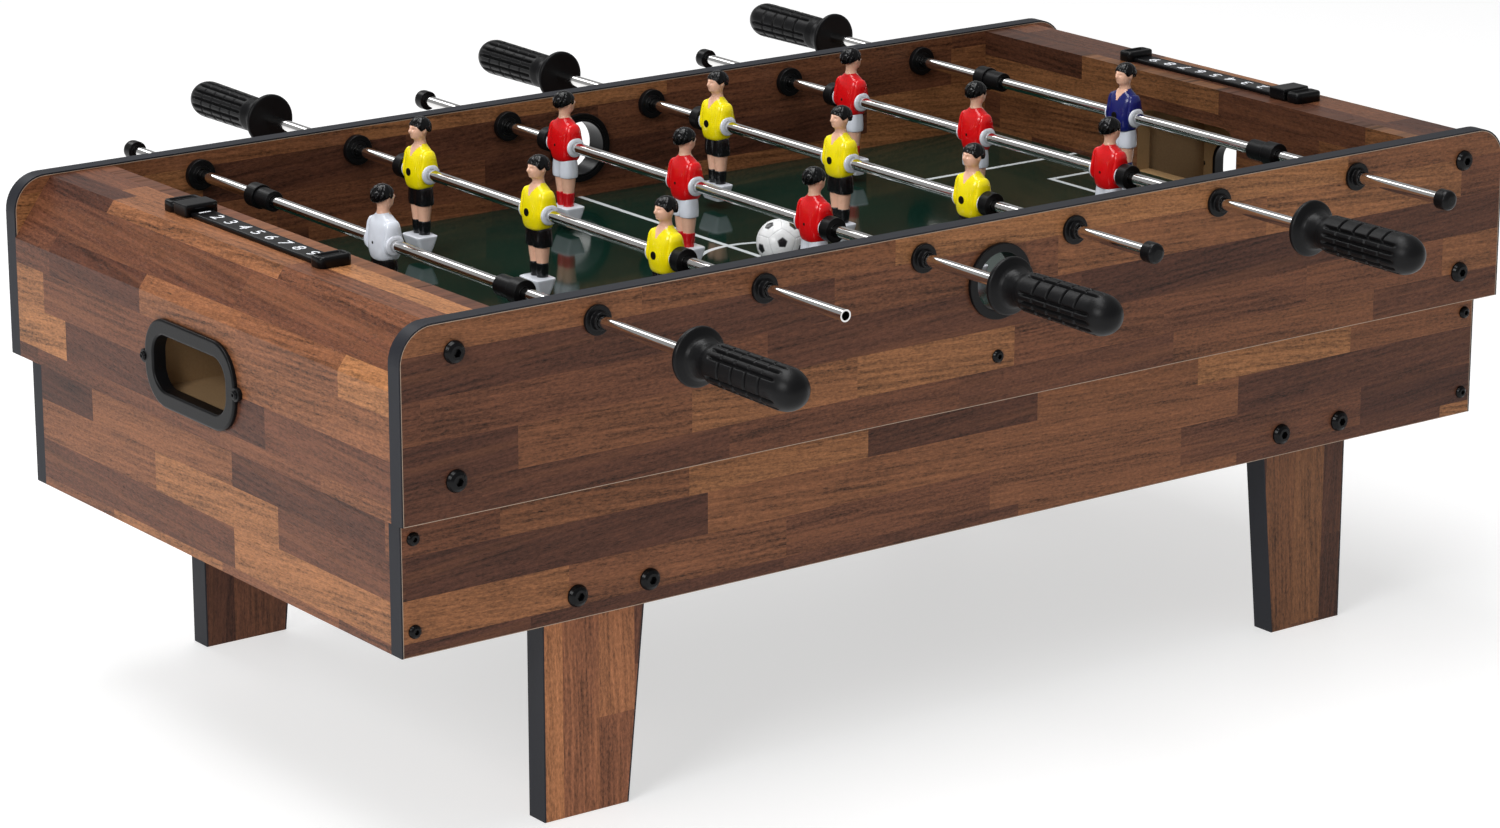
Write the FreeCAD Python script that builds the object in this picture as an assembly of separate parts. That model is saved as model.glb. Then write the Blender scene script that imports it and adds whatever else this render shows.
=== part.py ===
import FreeCAD, Part
import math
import os

os.makedirs("parts", exist_ok=True)

# Tabletop football table, in millimetres.
# X runs along the table, the front is at -Y, Z is up and the floor is at Z = 0.

# Overall sizes
tableLength = 686.0
tableWidth = 367.0
sideTop = 259.0            # top edge of the long side panels above the floor
upperBottom = 167.0        # bottom edge of the upper box
lowerBottom = 101.0        # bottom edge of the lower box

# Boards
panelThick = 9.0
sideCornerRadius = 18.0
edgeBandThick = 0.8
coverThick = 5.0
coverDrop = 1.5            # end cover top below the side panel top
bevelWide = 21.2
bevelHigh = 29.0
endDepth = 57.5            # end of the table to the goal wall's playing face
lowerInsetY = 11.0
lowerInsetX = 5.4
cleatWide = 15.0
cleatHigh = 15.0
fieldTop = 200.5
fieldThick = 3.0
blockWide = 14.0
blockDeep = 20.0

# Goals
goalHalfWidth = 40.5
goalHigh = 36.5
goalCornerRadius = 12.0
goalFloorTop = 180.0
goalFloorThick = 5.0
goalBoxMargin = 2.5        # catcher cheeks stand this far outside the goal mouth

# Goal bezels in the end faces
bezelHalfWidth = 42.0
bezelHalfHigh = 22.0
bezelRadius = 19.0
bezelRim = 8.0
bezelThick = 2.4
bezelSleeve = 1.8
bezelCentre = 197.0
bezelEarRadius = 3.4
bezelEarOut = 43.0

# Ball entries in the side panels
entryCentre = 228.0
entryFlangeRadius = 19.0
entryHoleRadius = 14.5
entrySleeve = 1.5
entryFlangeThick = 2.2

# Legs
legThick = 13.0
legOuterX = 255.0
legTopWidth = 63.0
legFootWidth = 48.0
legTop = 150.0

# Rods and bearings
rodCount = 6
rodEndSetback = 106.25     # end of the table to the first rod
rodHeight = 246.5
rodRadius = 3.0
tubeWall = 0.8
rodClearance = 0.08
rodReach = 65.7            # free tip beyond the outer face of the side panel
rodSlides = (-3.3, 3.3, 10.0, 3.3, 8.0, -3.3)    # how far each rod stands pushed towards the rear
gripTurns = (-20.0, 70.0, 40.0, 75.0, 65.0, 15.0)    # turn of each grip's block rows about its rod
gripLength = 77.0
gripSetOut = 8.3           # grip's guard beyond the reach of the free tip
gripBoreDepth = 48.0
capRadius = 5.2
capLength = 8.0
bearingFlangeRadius = 7.3
bearingFlangeThick = 2.0
bearingHubRadius = 4.6
bearingHubOut = 5.0
bearingSleeveRadius = 5.0
bearingNutRadius = 8.0
bearingNutThick = 3.5
ringClearance = 0.06
bumperRadius = 6.3
bumperLength = 6.5
bumperGap = 0.3
stopCentre = 112.5         # middle of a keeper rod's stop
stopLength = 20.0
stopSleeveRadius = 5.3
stopCollarLength = 8.0

# Playing figures, measured from the rod's axis
playerSpacing = 108.5
headTop = 29.0
footBottom = 42.0
figureHalfWidth = 10.8
bossRadius = 5.4

# Ball
ballRadius = 12.0
ballX = -3.0
ballY = -11.0
ballLift = 0.3

# Score counters
scoreLength = 147.0
scoreShift = 4.5           # each bar's middle, from the middle of the table towards its player's left
scoreBarWide = 12.0
scoreBarHigh = 2.4
scoreCapLong = 10.5
scoreCapWide = 18.0
scoreCapHigh = 5.6
sliderLong = 12.0
sliderOver = 0.8           # slider's top above the caps
sliderDip = 1.5
sliderDipRadius = 9.0
sliderClear = 0.3

# Fasteners
boltHeadRadius = 5.4
boltHeadHigh = 3.2
boltShankRadius = 3.0
boltLength = 26.0
legBoltLength = 19.0
screwHeadRadius = 3.3
screwHeadHigh = 2.0
screwShankRadius = 1.4
screwLength = 20.0
bezelScrewHeadRadius = 2.3
panelBoltHigh = 244.0
panelBoltLow = 184.0
legBoltHeight = 112.5
legBoltOuter = 241.5
legBoltInner = 200.5
endScrewHigh = 157.0
endScrewLow = 113.0
fieldScrewHeight = 190.0

# Derived positions
halfLength = tableLength / 2
sideOuter = tableWidth / 2
sideInner = sideOuter - panelThick
wallFace = halfLength - endDepth
wallBack = wallFace + panelThick
coverTop = sideTop - coverDrop
coverInner = halfLength - coverThick
apronOuter = sideOuter - lowerInsetY
apronInner = apronOuter - panelThick
lowerEnd = halfLength - lowerInsetX
cleatTop = fieldTop - fieldThick
cleatBottom = cleatTop - cleatHigh
blockX = halfLength - 29.0
endScrewX = lowerEnd - 7.0
rodPitch = (tableLength - 2 * rodEndSetback) / (rodCount - 1)
tipY = sideOuter + rodReach
gripY = tipY + gripSetOut
scoreX = halfLength - 39.5
goalBoxHalfWidth = goalHalfWidth + goalBoxMargin
sliderRest = scoreLength / 2 - scoreCapLong - sliderClear - sliderLong / 2


def vector(x, y, z):
    return FreeCAD.Vector(x, y, z)


def block(x0, x1, y0, y1, z0, z1):
    return Part.makeBox(x1 - x0, y1 - y0, z1 - z0, vector(x0, y0, z0))


def mirroredX(shape):
    return shape.mirror(vector(0, 0, 0), vector(1, 0, 0))


def mirroredY(shape):
    return shape.mirror(vector(0, 0, 0), vector(0, 1, 0))


def halfTurn(shape):
    turned = shape.copy()
    turned.rotate(vector(0, 0, 0), vector(0, 0, 1), 180)
    return turned


def moved(shape, x, y, z):
    copy = shape.copy()
    copy.translate(vector(x, y, z))
    return copy


def save(name, *shapes):
    shape = shapes[0] if len(shapes) == 1 else Part.makeCompound(list(shapes))
    shape.exportStep(os.path.join("parts", name + ".step"))


def polygonFace(points):
    return Part.Face(Part.makePolygon(points + [points[0]]))


def turnedProfile(pairs):
    # solid of revolution about Z from radius and height pairs
    points = [vector(radius, 0, height) for radius, height in pairs]
    return polygonFace(points).revolve(vector(0, 0, 0), vector(0, 0, 1), 360)


def alongY(shape, side):
    # stands a part built along +Z out along +Y, or along -Y for the front side
    turned = shape.copy()
    turned.rotate(vector(0, 0, 0), vector(1, 0, 0), -90 * side)
    return turned


def alongX(shape, side):
    turned = shape.copy()
    turned.rotate(vector(0, 0, 0), vector(0, 1, 0), 90 * side)
    return turned


def roundedSlab(halfY, halfZ, radius, x0, x1, centreZ):
    slab = block(x0, x1, -halfY, halfY, centreZ - halfZ, centreZ + halfZ)
    corners = [edge for edge in slab.Edges if abs(edge.Vertexes[0].X - edge.Vertexes[1].X) > 0.1]
    return slab.makeFillet(radius, corners)


def archedBoard(half, bottom, top, radius, y0, y1):
    # upright board along X whose two top corners are rounded
    cut = radius * (1 - math.sqrt(0.5))
    leftLow = vector(-half, y0, bottom)
    leftHigh = vector(-half, y0, top - radius)
    topLeft = vector(-half + radius, y0, top)
    topRight = vector(half - radius, y0, top)
    rightHigh = vector(half, y0, top - radius)
    rightLow = vector(half, y0, bottom)
    edges = [
        Part.makeLine(leftLow, leftHigh),
        Part.Arc(leftHigh, vector(-half + cut, y0, top - cut), topLeft).toShape(),
        Part.makeLine(topLeft, topRight),
        Part.Arc(topRight, vector(half - cut, y0, top - cut), rightHigh).toShape(),
        Part.makeLine(rightHigh, rightLow),
        Part.makeLine(rightLow, leftLow),
    ]
    return Part.Face(Part.Wire(edges)).extrude(vector(0, y1 - y0, 0))


def rodX(index):
    return (index - (rodCount - 1) / 2) * rodPitch


def sideHole(x, z, radius, depth):
    # cutter through the front side, running from outside the table inwards
    return Part.makeCylinder(radius, depth, vector(x, -sideOuter - 5, z), vector(0, 1, 0))


def sidePanel():
    board = archedBoard(halfLength - edgeBandThick, upperBottom, sideTop - edgeBandThick,
                        sideCornerRadius - edgeBandThick, -sideOuter, -sideInner)
    cutters = []
    for index in range(rodCount):
        cutters.append(sideHole(rodX(index), rodHeight, bearingSleeveRadius, 30))
    cutters.append(sideHole(0, entryCentre, entryHoleRadius + entrySleeve, 30))
    cutters.append(sideHole(0, fieldScrewHeight, screwShankRadius, 30))
    for side in (-1, 1):
        for height in (panelBoltHigh, panelBoltLow):
            cutters.append(sideHole(side * blockX, height, boltShankRadius, 30))
    return board.cut(cutters)


def sideBand():
    # dark band over the top edge and both ends of a side panel
    outer = archedBoard(halfLength, upperBottom, sideTop, sideCornerRadius, -sideOuter, -sideInner)
    inner = archedBoard(halfLength - edgeBandThick, upperBottom - 1, sideTop - edgeBandThick,
                        sideCornerRadius - edgeBandThick, -sideOuter, -sideInner)
    return outer.cut(inner)


def apronHole(x, z, radius):
    return Part.makeCylinder(radius, panelThick + 6, vector(x, -apronOuter - 3, z), vector(0, 1, 0))


def apron():
    reach = lowerEnd - edgeBandThick
    board = block(-reach, reach, -apronOuter, -apronInner, lowerBottom, cleatBottom)
    cutters = []
    for side in (-1, 1):
        for x in (legBoltOuter, legBoltInner):
            cutters.append(apronHole(side * x, legBoltHeight, boltShankRadius))
        for height in (endScrewHigh, endScrewLow):
            cutters.append(apronHole(side * endScrewX, height, screwShankRadius))
        cutters.append(apronHole(side * blockX, panelBoltLow, boltShankRadius))
    return board.cut(cutters)


def apronBand(side):
    x0 = lowerEnd - edgeBandThick
    band = block(x0, lowerEnd, -apronOuter, -apronInner, lowerBottom, cleatBottom)
    return band if side > 0 else mirroredX(band)


def lowerEndPanel():
    # right-hand end of the lower box, between the two aprons
    board = block(lowerEnd - panelThick, lowerEnd, -apronInner, apronInner,
                  lowerBottom, goalFloorTop - goalFloorThick)
    cutters = []
    for side in (-1, 1):
        for height in (endScrewHigh, endScrewLow):
            start = vector(endScrewX, side * (apronInner + 2), height)
            depth = screwLength - panelThick + 2
            cutters.append(Part.makeCylinder(screwShankRadius, depth, start, vector(0, -side, 0)))
    return board.cut(cutters)


def setBack(path, depth):
    # the same path moved to its left by depth, with mitred corners
    normals = []
    for (x0, z0), (x1, z1) in zip(path, path[1:]):
        length = math.hypot(x1 - x0, z1 - z0)
        normals.append((-(z1 - z0) / length, (x1 - x0) / length))
    result = []
    for index, (x, z) in enumerate(path):
        before = normals[max(index - 1, 0)]
        after = normals[min(index, len(normals) - 1)]
        scale = depth / (1 + before[0] * after[0] + before[1] * after[1])
        result.append((x + (before[0] + after[0]) * scale, z + (before[1] + after[1]) * scale))
    return result


def coverPath():
    # outer line of the right-hand cover, from its lower edge up over the bevel to the goal wall
    return [(halfLength, upperBottom), (halfLength, coverTop - bevelHigh),
            (halfLength - bevelWide, coverTop), (wallBack, coverTop)]


def endCover():
    # right-hand cover: upright face, bevel and flat top in one folded board
    outline = coverPath() + setBack(coverPath(), coverThick)[::-1]
    face = polygonFace([vector(x, -sideInner, z) for x, z in outline])
    board = face.extrude(vector(0, 2 * sideInner, 0))
    opening = roundedSlab(bezelHalfWidth - bezelRim + bezelSleeve, bezelHalfHigh - bezelRim + bezelSleeve,
                          bezelRadius - bezelRim + bezelSleeve, coverInner - 5, halfLength + 5, bezelCentre)
    screwHoles = []
    for side in (-1, 1):
        start = vector(coverInner - 4, side * bezelEarOut, bezelCentre)
        screwHoles.append(Part.makeCylinder(screwShankRadius, 12, start, vector(1, 0, 0)))
    return board.cut([opening] + screwHoles)


def goalWall():
    # right-hand goal wall, cut for the goal mouth at playfield level
    board = block(wallFace, wallBack, -sideInner, sideInner, cleatBottom, coverTop)
    mouth = roundedSlab(goalHalfWidth, goalHigh, goalCornerRadius, wallFace - 3, wallBack + 3, fieldTop)
    upper = block(wallFace - 3, wallBack + 3, -goalHalfWidth, goalHalfWidth, fieldTop, fieldTop + goalHigh)
    return board.cut(mouth.common(upper))


def goalBox():
    # right-hand ball catcher: a floor and two cheeks of raw board
    floorBoard = block(wallBack, coverInner, -goalBoxHalfWidth - panelThick, goalBoxHalfWidth + panelThick,
                       goalFloorTop - goalFloorThick, goalFloorTop)
    bevelLow, bevelTop, inner = setBack(coverPath(), coverThick)[1:]
    outline = [(wallBack, goalFloorTop), (coverInner, goalFloorTop), bevelLow, bevelTop, inner]
    face = polygonFace([vector(x, goalBoxHalfWidth, z) for x, z in outline])
    cheek = face.extrude(vector(0, panelThick, 0))
    return [floorBoard, cheek, mirroredY(cheek)]


def playfield():
    return block(-wallFace, wallFace, -sideInner, sideInner, cleatTop, fieldTop)


def cleat():
    # front batten that carries the playfield and rests on the apron
    batten = block(-wallFace, wallFace, -sideInner, -sideInner + cleatWide, cleatBottom, cleatTop)
    pilot = Part.makeCylinder(screwShankRadius, screwLength - panelThick,
                              vector(0, -sideInner, fieldScrewHeight), vector(0, 1, 0))
    return batten.cut(pilot)


def cornerBlock():
    # front right block that takes the two panel bolts, its top bevelled to sit under the cover
    (lowX, lowZ), (highX, highZ) = setBack(coverPath(), coverThick)[1:3]
    outerX = blockX + blockWide / 2
    outerZ = lowZ + (lowX - outerX) * (highZ - lowZ) / (lowX - highX)
    outline = [(blockX - blockWide / 2, cleatBottom), (outerX, cleatBottom), (outerX, min(outerZ, highZ)),
               (min(highX, outerX), highZ), (blockX - blockWide / 2, highZ)]
    face = polygonFace([vector(x, -sideInner, z) for x, z in outline])
    wood = face.extrude(vector(0, blockDeep, 0))
    heights = (panelBoltHigh, panelBoltLow)
    holes = [sideHole(blockX, height, boltShankRadius, 5 + boltLength) for height in heights]
    return wood.cut(holes)


def legOutline(inset, x0, thick0, thick1):
    slope = (legTopWidth - legFootWidth) / legTop
    points = [vector(x0 - inset, thick0, 0), vector(x0 - inset, thick0, legTop),
              vector(x0 - legTopWidth + inset, thick0, legTop),
              vector(x0 - legTopWidth + slope * legTop + inset, thick0, 0)]
    return polygonFace(points).extrude(vector(0, thick1 - thick0, 0))


def leg():
    # front right leg: upright outer edge, inner edge leaning outwards to the foot
    board = legOutline(edgeBandThick, legOuterX, -apronInner, -apronInner + legThick)
    cutters = []
    for x in (legBoltOuter, legBoltInner):
        start = vector(x, -apronOuter, legBoltHeight)
        cutters.append(Part.makeCylinder(boltShankRadius, legBoltLength, start, vector(0, 1, 0)))
    return board.cut(cutters)


def legBands():
    whole = legOutline(0, legOuterX, -apronInner, -apronInner + legThick)
    inner = legOutline(edgeBandThick, legOuterX, -apronInner, -apronInner + legThick)
    bands = whole.cut(inner)
    return bands.Solids


def bezel():
    # right-hand goal bezel: a rounded rim on the end face, a sleeve through it and two screw ears
    outerFace = halfLength + bezelThick
    rim = roundedSlab(bezelHalfWidth, bezelHalfHigh, bezelRadius, halfLength, outerFace, bezelCentre)
    for side in (-1, 1):
        ear = Part.makeCylinder(bezelEarRadius, bezelThick,
                                vector(halfLength, side * bezelEarOut, bezelCentre), vector(1, 0, 0))
        rim = rim.fuse(ear)
    sleeve = roundedSlab(bezelHalfWidth - bezelRim + bezelSleeve, bezelHalfHigh - bezelRim + bezelSleeve,
                         bezelRadius - bezelRim + bezelSleeve, coverInner, halfLength, bezelCentre)
    hole = roundedSlab(bezelHalfWidth - bezelRim, bezelHalfHigh - bezelRim,
                       bezelRadius - bezelRim, coverInner - 2, outerFace + 2, bezelCentre)
    shape = rim.fuse(sleeve).cut(hole)
    for side in (-1, 1):
        start = vector(coverInner, side * bezelEarOut, bezelCentre)
        shape = shape.cut(Part.makeCylinder(screwShankRadius, 20, start, vector(1, 0, 0)))
    return shape.removeSplitter()


def ballEntry():
    # front ball entry: a flanged cup through the panel and the ring that holds it from inside
    sleeveRadius = entryHoleRadius + entrySleeve
    inward = panelThick + entryFlangeThick
    cup = turnedProfile([
        (entryHoleRadius, -inward), (sleeveRadius, -inward), (sleeveRadius, 0),
        (entryFlangeRadius, 0), (entryFlangeRadius, entryFlangeThick - 0.8),
        (entryFlangeRadius - 0.8, entryFlangeThick), (entryHoleRadius + 1.4, entryFlangeThick),
        (entryHoleRadius, entryFlangeThick - 1.4),
    ])
    ring = turnedProfile([
        (sleeveRadius, -inward), (entryFlangeRadius, -inward),
        (entryFlangeRadius, -panelThick), (sleeveRadius, -panelThick),
    ])
    return [moved(alongY(shape, -1), 0, -sideOuter, entryCentre) for shape in (cup, ring)]


def bearing(x):
    # front rod bearing: flanged outer half with a hub, clamped by a round nut inside the table
    bore = rodRadius + rodClearance
    inward = panelThick + bearingNutThick
    half = turnedProfile([
        (bore, -inward), (bearingSleeveRadius, -inward), (bearingSleeveRadius, 0),
        (bearingFlangeRadius, 0), (bearingFlangeRadius, bearingFlangeThick - 0.6),
        (bearingFlangeRadius - 0.6, bearingFlangeThick), (bearingHubRadius, bearingFlangeThick),
        (bearingHubRadius - 0.3, bearingHubOut), (bore + 0.4, bearingHubOut), (bore, bearingHubOut - 0.4),
    ])
    nut = turnedProfile([
        (bearingSleeveRadius, -inward), (bearingNutRadius - 0.7, -inward),
        (bearingNutRadius, -inward + 0.7),
        (bearingNutRadius, -panelThick), (bearingSleeveRadius, -panelThick),
    ])
    return [moved(alongY(shape, -1), x, -sideOuter, rodHeight) for shape in (half, nut)]


def fastener(headRadius, headHigh, shankRadius, length):
    # round-headed fastener along Z: head above Z = 0, shank below, hexagon socket in the head
    body = turnedProfile([
        (0, -length), (shankRadius, -length), (shankRadius, 0), (headRadius, 0),
        (headRadius, headHigh * 0.3), (headRadius * 0.86, headHigh * 0.72), (headRadius * 0.6, headHigh),
        (0, headHigh),
    ])
    reach = headRadius * 0.4
    corners = []
    for step in range(6):
        angle = math.radians(60 * step)
        corners.append(vector(reach * math.cos(angle), reach * math.sin(angle), headHigh * 0.4))
    socket = polygonFace(corners).extrude(vector(0, 0, headHigh))
    return body.cut(socket)


def onBothSides(shape, places, faceY):
    # copies of a fastener on the front face at -Y and mirrored on the rear face
    front = [moved(alongY(shape, -1), x, -faceY, z) for x, z in places]
    return front + [mirroredY(item) for item in front]


def panelBolts():
    bolt = fastener(boltHeadRadius, boltHeadHigh, boltShankRadius, boltLength)
    places = [(side * blockX, height) for side in (-1, 1) for height in (panelBoltHigh, panelBoltLow)]
    return onBothSides(bolt, places, sideOuter)


def legBolts():
    bolt = fastener(boltHeadRadius, boltHeadHigh, boltShankRadius, legBoltLength)
    places = [(side * x, legBoltHeight) for side in (-1, 1) for x in (legBoltOuter, legBoltInner)]
    return onBothSides(bolt, places, apronOuter)


def smallScrews():
    screw = fastener(screwHeadRadius, screwHeadHigh, screwShankRadius, screwLength)
    places = [(side * endScrewX, height) for side in (-1, 1) for height in (endScrewHigh, endScrewLow)]
    screws = onBothSides(screw, places, apronOuter) + onBothSides(screw, [(0, fieldScrewHeight)], sideOuter)
    short = fastener(bezelScrewHeadRadius, 1.2, screwShankRadius, bezelThick + coverThick)
    for side in (-1, 1):
        single = moved(alongX(short, 1), halfLength + bezelThick, side * bezelEarOut, bezelCentre)
        screws += [single, mirroredX(single)]
    return screws


def tube(gripSide, capped):
    # plain tube from the free tip to the bottom of the grip's bore
    tip = tipY - (1.5 if capped else 0)
    start = -gripSide * tip
    finish = gripSide * (gripY + gripBoreDepth)
    low = min(start, finish)
    outer = Part.makeCylinder(rodRadius, abs(finish - start), vector(0, low, 0), vector(0, 1, 0))
    inner = Part.makeCylinder(rodRadius - tubeWall, abs(finish - start), vector(0, low, 0), vector(0, 1, 0))
    return outer.cut(inner)


def sector(shape, halfAngle, side):
    # the part of a shape within halfAngle of the X direction on one side
    reach = 40.0
    points = [vector(0, 0, -reach), vector(side * reach, -reach * math.tan(halfAngle), -reach),
              vector(side * reach, reach * math.tan(halfAngle), -reach)]
    return shape.common(polygonFace(points).extrude(vector(0, 0, 4 * reach)))


def grip():
    # moulded handle along Z: disc guard, neck, barrel with two rows of blocks
    # and two banks of ribs, domed end
    barrel = 9.5
    swell = 10.0
    ribStart = 18.0
    ribEnd = gripLength - 13.0
    grooveFloor = 8.3
    pairs = [
        (rodRadius, 0), (13.2, 0), (14.0, 0.9), (14.0, 2.3), (13.2, 3.3), (9.8, 4.8), (8.5, 8.0),
        (8.3, 13.0), (barrel, ribStart - 2), (swell, ribEnd + 1),
    ]
    domeHigh = gripLength - ribEnd - 1
    for step in range(1, 9):
        angle = math.radians(90 * step / 8)
        pairs.append((swell * math.cos(angle), ribEnd + 1 + domeHigh * math.sin(angle)))
    pairs[-1] = (0, gripLength)
    pairs += [(0, gripBoreDepth), (rodRadius, gripBoreDepth)]
    shape = turnedProfile(pairs)
    cutters = []
    for bank in (90, 270):
        for step in range(6):
            groove = block(grooveFloor, 12, -0.75, 0.75, ribStart, ribEnd)
            groove.rotate(vector(0, 0, 0), vector(0, 0, 1), bank - 60 + 24 * step)
            cutters.append(groove)
    for step in range(1, 5):
        height = ribStart + (ribEnd - ribStart) * step / 5
        low, high = height - 0.5, height + 0.5
        ring = turnedProfile([(9.1, low), (12, low), (12, high), (9.1, high)])
        cutters += [sector(ring, math.radians(29), side) for side in (-1, 1)]
    return shape.cut(cutters)


def cap():
    # push-on end cap along Z, open towards the table
    rim = capLength - 1.5
    return turnedProfile([
        (rodRadius, 0), (capRadius - 0.5, 0), (capRadius, 0.5), (capRadius, capLength * 0.58),
        (capRadius * 0.94, capLength * 0.77), (capRadius * 0.78, capLength * 0.9),
        (capRadius * 0.5, capLength * 0.98), (0, capLength), (0, rim), (rodRadius, rim),
    ])


def ringAlongY(outer, inner, y0, y1, soft):
    # ring round the rod from y0 to y1 with softened rims
    ring = turnedProfile([
        (inner, y0), (outer - soft, y0), (outer, y0 + soft),
        (outer, y1 - soft), (outer - soft, y1), (inner, y1),
    ])
    return alongY(ring, 1)


def bumpers():
    # rubber rings outboard of the outer figures
    start = playerSpacing + figureHalfWidth + bumperGap
    ring = ringAlongY(bumperRadius, rodRadius + ringClearance, start, start + bumperLength, 1.1)
    return [ring, mirroredY(ring)]


def keeperStops():
    # stop sleeve with a thicker rubber collar at its outer end, on each side of the keeper
    inner = rodRadius + ringClearance
    low = stopCentre - stopLength / 2
    high = stopCentre + stopLength / 2
    middle = high - stopCollarLength
    sleeve = ringAlongY(stopSleeveRadius, inner, low, middle, 0.6)
    rubber = ringAlongY(bumperRadius, inner, middle, high, 1.2)
    stop = sleeve.fuse(rubber)
    return [stop, mirroredY(stop)]


def slice(height, front, back, half, corner):
    # eight-sided outline at one height of a figure: X from back to front, Y from -half to half
    pairs = [(front - corner, -half), (front, -half + corner), (front, half - corner), (front - corner, half),
             (back + corner, half), (back, half - corner), (back, -half + corner), (back + corner, -half)]
    points = [vector(x, y, height) for x, y in pairs]
    return Part.makePolygon(points + [points[0]])


def figure():
    # one playing figure facing +X with the rod's axis along Y through the origin
    torso = Part.makeLoft([
        slice(-17, 5.2, -4.8, 7.0, 2.2), slice(-8, 6.2, -5.6, 7.6, 2.4), slice(0, 7.3, -6.2, 8.8, 2.8),
        slice(8.5, 5.8, -5.4, 9.9, 2.8), slice(12.2, 4.4, -4.6, 8.6, 2.4), slice(14.4, 2.6, -3.0, 4.4, 1.6),
    ], True, True)
    thighs = Part.makeLoft([
        slice(-35, 3.4, -3.2, 5.6, 1.4), slice(-26, 3.6, -3.2, 6.0, 1.4), slice(-16, 4.6, -4.2, 6.8, 1.8),
    ], True, True)
    foot = Part.makeLoft([
        slice(-footBottom, 4.5, -2.0, 7.0, 1.0), slice(-footBottom + 8.8, 7.4, -5.2, 8.4, 1.0),
    ], True, True)
    neck = Part.makeCylinder(3.1, 7, vector(0, 0, 13), vector(0, 0, 1))
    head = Part.makeSphere(5.7, vector(0.4, 0, headTop - 5.7))
    bossHalf = figureHalfWidth - 0.6
    boss = Part.makeCylinder(bossRadius, 2 * bossHalf, vector(0, -bossHalf, 0), vector(0, 1, 0))
    start = vector(0, -figureHalfWidth, 0)
    hub = Part.makeCylinder(bossRadius - 0.9, 2 * figureHalfWidth, start, vector(0, 1, 0))
    bore = Part.makeCylinder(rodRadius, 60, vector(0, -30, 0), vector(0, 1, 0))
    return torso.multiFuse([thighs, foot, neck, head, boss, hub]).cut(bore)


def scoreBar():
    # right-hand score bar with a cap at each end
    half = scoreLength / 2
    bar = block(-scoreBarWide / 2, scoreBarWide / 2, -half, half, 0, scoreBarHigh)
    for side in (-1, 1):
        end = block(-scoreCapWide / 2, scoreCapWide / 2, half - scoreCapLong, half, 0, scoreCapHigh)
        uprights = [edge for edge in end.Edges if abs(edge.Vertexes[0].Z - edge.Vertexes[1].Z) > 0.1]
        end = end.makeFillet(2.5, uprights)
        bar = bar.fuse(end if side > 0 else mirroredY(end))
    return moved(bar, scoreX, -scoreShift, coverTop)


def scoreSlider():
    # right-hand slider: a saddle over the bar, with a finger dip across its top
    long = sliderLong / 2
    top = scoreCapHigh + sliderOver
    saddle = block(-scoreCapWide / 2, scoreCapWide / 2, -long, long, sliderClear, top)
    uprights = [edge for edge in saddle.Edges if abs(edge.Vertexes[0].Z - edge.Vertexes[1].Z) > 0.1]
    saddle = saddle.makeFillet(2.0, uprights)
    channelHalf = scoreBarWide / 2 + sliderClear
    channel = block(-channelHalf, channelHalf, -long - 1, long + 1, -1, scoreBarHigh + sliderClear)
    dipStart = vector(-channelHalf, 0, top - sliderDip + sliderDipRadius)
    dip = Part.makeCylinder(sliderDipRadius, 2 * channelHalf, dipStart, vector(1, 0, 0))
    return moved(saddle.cut([channel, dip]), scoreX, -sliderRest - scoreShift, coverTop)


def saveFrame():
    front = sidePanel()
    save("front_side_panel", front)
    save("rear_side_panel", mirroredY(front))
    cover = endCover()
    save("right_end_cover", cover)
    save("left_end_cover", mirroredX(cover))
    wall = goalWall()
    save("right_goal_wall", wall)
    save("left_goal_wall", mirroredX(wall))
    boards = goalBox()
    save("goal_boxes", *boards, *[mirroredX(board) for board in boards])
    save("playfield", playfield())
    save("field_cleats", cleat(), mirroredY(cleat()))
    wood = cornerBlock()
    save("corner_blocks", wood, mirroredX(wood), mirroredY(wood), mirroredX(mirroredY(wood)))
    frontApron = apron()
    save("front_apron", frontApron)
    save("rear_apron", mirroredY(frontApron))
    lower = lowerEndPanel()
    save("right_lower_end", lower)
    save("left_lower_end", mirroredX(lower))
    frontRight = leg()
    save("front_right_leg", frontRight)
    save("front_left_leg", mirroredX(frontRight))
    save("rear_right_leg", mirroredY(frontRight))
    save("rear_left_leg", mirroredX(mirroredY(frontRight)))
    bands = [sideBand(), apronBand(-1), apronBand(1)]
    for band in legBands():
        bands += [band, mirroredX(band)]
    save("edge_bands", *bands, *[mirroredY(band) for band in bands])


def saveFittings():
    right = bezel()
    save("goal_bezels", right, mirroredX(right))
    entry = ballEntry()
    save("ball_entries", *entry, *[mirroredY(piece) for piece in entry])
    bearings = []
    for index in range(rodCount):
        pieces = bearing(rodX(index))
        bearings += pieces + [mirroredY(piece) for piece in pieces]
    save("rod_bearings", *bearings)
    save("panel_bolts", *panelBolts())
    save("leg_bolts", *legBolts())
    save("small_screws", *smallScrews())
    bar = scoreBar()
    save("score_bars", bar, halfTurn(bar))
    slider = scoreSlider()
    save("right_score_slider", slider)
    save("left_score_slider", halfTurn(slider))


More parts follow.
